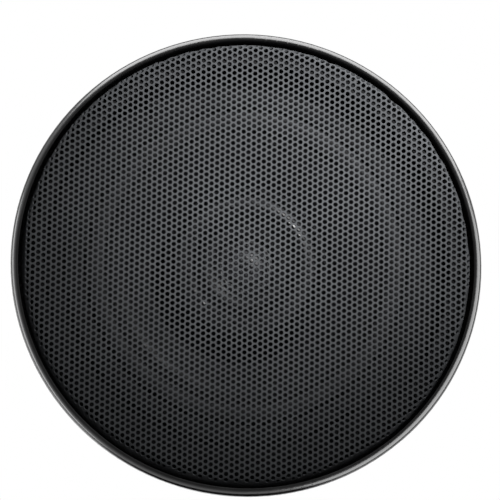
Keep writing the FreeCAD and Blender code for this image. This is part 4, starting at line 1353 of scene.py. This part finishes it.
@dataclass
class Hanger:
    """The welded eye plate on the deck with its bolts."""

    base_thickness: float = 3.0 * MM
    bolt_place: float = 28.0 * MM
    bolt_head: float = 3.6 * MM
    tab_breadth: float = 40.0 * MM
    tab_thickness: float = 4.0 * MM
    bead: float = 2.0 * MM
    bead_step: float = 1.3 * MM
    bead_shape: Point = (0.8, 0.75, 0.75)
    bead_sides: int = 10
    bead_rings: int = 6
    sharp: float = 60.0

    def weld(self) -> None:
        """Lays the rippled weld beads where the eye plate's tab meets its base."""
        count = int((self.tab_breadth - self.bead) / self.bead_step) + 1
        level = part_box("hanger_plate")[0].z + self.base_thickness
        group = NodeGroup(
            "weld_bead",
            {
                "Count": count,
                "First": (-self.bead_step * (count - 1) / 2, 0.0, level),
                "Step": (self.bead_step, 0.0, 0.0),
                "Bead": self.bead,
                "Gap": self.tab_thickness / 2,
                "Material": ZINC_PLATE.material(),
            },
        )
        ripple = group.add("GeometryNodeMeshUVSphere", Radius=group.given("Bead"))
        group.feed(ripple, Segments=self.bead_sides, Rings=self.bead_rings)
        rows: list[Socket] = []
        for side in (-1, 1):
            gap = group.calc("MULTIPLY", group.given("Gap"), side)
            across = group.add("ShaderNodeCombineXYZ", Y=gap)
            first = group.add("ShaderNodeVectorMath", {"operation": "ADD"})
            group.fill(first.inputs[0], group.given("First"))
            group.fill(first.inputs[1], across.outputs[0])
            points = group.row(first.outputs[0])
            placed = group.add("GeometryNodeInstanceOnPoints", Points=points)
            group.feed(placed, Instance=ripple.outputs[0], Scale=self.bead_shape)
            rows.append(placed.outputs[0])
        group.finish(group.joined(*rows))
        piece = group.make("weld_beads")
        smooth(piece.data, self.sharp)
        fix(piece, ZINC_PLATE, Body.CABINET)

    def build(self) -> None:
        """Softens the eye plate, welds its tab and sets its bolts."""
        eased("hanger_plate", ZINC_PLATE, angle=30, edge=0.4 * MM)
        self.weld()
        low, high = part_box("hanger_bolts")
        bolts = Screws(
            "hanger_bolt_pair", "hanger_bolts", BLACK_ZINC, length=high.z - low.z - self.bolt_head,
            round_over=1.6 * MM, head=5.2 * MM, head_height=self.bolt_head, shank=3.0 * MM,
            drive=Drive.HEX, drive_size=2.3 * MM, drive_depth=2.0 * MM,
        )
        first = (-self.bolt_place, 0.0, high.z)
        step = (2 * self.bolt_place, 0, 0)
        bolts.place({"Count": 2, "First": first, "Step": step, "Axis": (0, 0, -1)})
        dress_nodes(ZINC_PLATE, "backing_plate", "hanger_nuts")


def set_lamp(data: bpy.types.Light, place: Point, aim: Pair = (0, 0)) -> Piece:
    """Sets a lamp that faces the grille, out of the camera's sight.

    Args:
        data: The lamp's own values.
        place: Where it stands.
        aim: The place on the grille that it faces.

    Returns:
        The lamp.
    """
    light = bpy.data.objects.new(data.name, data)
    bpy.context.scene.collection.objects.link(light)
    light.location = place
    way = Vector((*aim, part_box("grille")[0].z)) - Vector(place)
    light.rotation_euler = way.to_track_quat("-Z", "Y").to_euler()
    light.visible_camera = False
    return light


def link_to_baffle(light: Piece, label: str, state: str) -> None:
    """Lets a lamp light the baffle alone, or all but the baffle.

    Args:
        light: The lamp.
        label: The name of the collection that says so.
        state: INCLUDE for the baffle alone, EXCLUDE for all the rest.
    """
    receivers = bpy.data.collections.new(label)
    receivers.objects.link(bpy.data.objects["front_baffle_eased"])
    receivers.collection_objects[0].light_linking.link_state = state
    light.light_linking.receiver_collection = receivers


@dataclass(frozen=True)
class Softbox:
    """A rectangular lamp that faces the part, or a white card that only the rim reflects."""

    name: str
    place: Point
    size: Pair
    power: float
    card: bool = True

    def build(self) -> None:
        """Sets the lamp."""
        data = bpy.data.lights.new(self.name, "AREA")
        data.shape = "RECTANGLE"
        data.size, data.size_y = self.size
        data.energy = self.power
        light = set_lamp(data, self.place)
        if self.card:
            light.visible_diffuse = False
            link_to_baffle(light, f"{self.name}_shown_in", "INCLUDE")


SOFTBOXES = (
    Softbox("top_card", place=(0.25, -1.08, -0.50), size=(2.3, 1.3), power=50.0),
    Softbox("right_card", place=(1.00, 0.38, -0.60), size=(2.2, 1.5), power=36.0),
    Softbox("left_card", place=(-1.06, 0.19, -0.26), size=(1.6, 0.9), power=15.0),
    Softbox("ceiling_lamp", place=(-0.50, 0.40, 1.70), size=(2.2, 2.2), power=18.0, card=False),
)


@dataclass
class Studio:
    """The camera below the part, the soft lights, the pale floor and the white surround."""

    tilt: float = 11.7
    azimuth: float = 103.8
    distance: float = 2.6
    lens: float = 449.76
    sight: float = 200.0
    aim: Pair = (1.33 * MM, 5.0 * MM)
    spot_power: float = 108.0
    spot_angle: float = 12.6
    spot_radius: float = 0.06
    spot_place: Point = (0.45, -0.62, -1.15)
    spot_aim: Pair = (0.036, -0.067)
    flag_place: Point = (-0.04, 0.32, -0.10)
    flag_size: Pair = (0.44, 0.28)
    flag_turn: float = -32.0
    flag_grey: float = 0.01
    flag_sides: int = 48
    world_level: float = 0.06
    floor_level: float = -5.4
    floor_radius: float = 60.0
    floor_sides: int = 64
    floor_grey: float = 0.82
    floor_glow: float = 0.62
    dim_from: float = 5.45
    dim_to: float = 9.0
    dim_level: float = 0.03
    matt: float = 0.9

    def camera(self) -> None:
        """Sets the camera at the photograph's viewing angle."""
        tilt = math.radians(self.tilt)
        azimuth = math.radians(self.azimuth)
        level = math.sin(tilt)
        back = Vector((level * math.cos(azimuth), level * math.sin(azimuth), -math.cos(tilt)))
        up = Vector((0, -1, 0))
        up = (up - back * up.dot(back)).normalized()
        right = up.cross(back)
        target = Vector((0, 0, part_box("grille")[0].z)) + right * self.aim[0] + up * self.aim[1]
        data = bpy.data.cameras.new("camera")
        data.lens = self.lens
        data.clip_end = self.sight
        camera = bpy.data.objects.new("camera", data)
        bpy.context.scene.collection.objects.link(camera)
        turn = Matrix((right, up, back)).transposed().to_4x4()
        camera.matrix_world = Matrix.Translation(target + back * self.distance) @ turn
        bpy.context.scene.camera = camera

    def spot(self) -> None:
        """Sets the soft spot that lights the upper right of the grille."""
        data = bpy.data.lights.new("spot", "SPOT")
        data.energy = self.spot_power
        data.spot_size = math.radians(self.spot_angle)
        data.spot_blend = 1.0
        data.shadow_soft_size = self.spot_radius
        light = set_lamp(data, self.spot_place, self.spot_aim)
        link_to_baffle(light, "spot_kept_off", "EXCLUDE")

    def flag(self) -> None:
        """Hangs a black card on the side that the photograph shows dark."""
        width, height = self.flag_size
        stretch = Matrix.Diagonal((width / 2, height / 2, 1, 1))
        slant = Matrix.Rotation(math.radians(self.flag_turn), 4, "Z")
        upright = Matrix.Rotation(math.pi / 2, 4, "X")
        placing = Matrix.Translation(self.flag_place) @ upright @ slant @ stretch
        card = disc("flag", 1.0, self.flag_sides, placing)
        surface = Surface("black_card")
        grey = self.flag_grey
        surface.feed(surface.shader, Base_Color=(grey, grey, grey, 1), Roughness=self.matt)
        surface.feed(surface.shader, Specular_IOR_Level=0.0)
        card.data.materials.append(surface.material)
        card.visible_camera = False

    def shown(self, tree: Tree) -> Socket:
        """Tells the rays that show a thing from those that light with it.

        Args:
            tree: The tree that asks.

        Returns:
            A socket that is 1 for rays from the camera, a reflection or glass.
        """
        path = tree.add("ShaderNodeLightPath").outputs
        seen = tree.calc("MAXIMUM", path["Is Camera Ray"], path["Is Glossy Ray"])
        return tree.calc("MAXIMUM", seen, path["Is Transmission Ray"])

    def surround(self) -> None:
        """Makes the world white to the eye and a plain soft light to the rest."""
        world = bpy.data.worlds.new("surround")
        bpy.context.scene.world = world
        world.use_nodes = True
        tree = Tree(world.node_tree)
        level = tree.add("ShaderNodeMapRange", Value=self.shown(tree))
        tree.feed(level, To_Min=self.world_level, To_Max=1.0)
        background = world.node_tree.nodes["Background"]
        tree.feed(background, Color=WHITE, Strength=level.outputs["Result"])

    def floor(self) -> None:
        """Lays the pale floor far below the hanging part, dark in the rim's reflection."""
        placing = Matrix.Translation((0, 0, self.floor_level))
        floor = disc("floor", self.floor_radius, self.floor_sides, placing)
        surface = Surface("pale_floor")
        away = surface.add("ShaderNodeVectorMath", {"operation": "LENGTH"}, Vector=surface.place)
        dimmed = surface.add("ShaderNodeMapRange", Value=away.outputs["Value"])
        surface.feed(dimmed, From_Min=self.dim_from, From_Max=self.dim_to)
        surface.feed(dimmed, To_Min=self.dim_level, To_Max=1.0)
        glossy = surface.add("ShaderNodeLightPath").outputs["Is Glossy Ray"]
        glow = surface.add("ShaderNodeMix", Factor=glossy, A=self.floor_glow)
        surface.feed(glow, B=dimmed.outputs["Result"])
        strength = surface.calc("MULTIPLY", self.shown(surface), glow.outputs["Result"])
        grey = self.floor_grey
        surface.feed(surface.shader, Base_Color=(grey, grey, grey, 1), Roughness=self.matt)
        surface.feed(surface.shader, Emission_Color=WHITE, Emission_Strength=strength)
        floor.data.materials.append(surface.material)

    def build(self) -> None:
        """Sets up the camera, the light and the ground."""
        self.camera()
        self.spot()
        for box in SOFTBOXES:
            box.build()
        self.flag()
        self.surround()
        self.floor()
        bpy.context.scene.view_settings.view_transform = "Standard"


def main() -> None:
    """Builds every sub-assembly and the studio."""
    logging.basicConfig(level=logging.INFO, format="%(relativeCreated)8.0f ms  %(message)s")
    part = (Grille(), Cabinet(), Woofer(), Tweeter(), Crossover(), Terminal(), Hanger())
    for assembly in (*part, Studio()):
        LOG.info("%s", type(assembly).__name__)
        assembly.build()


if __name__ == "__main__":
    main()
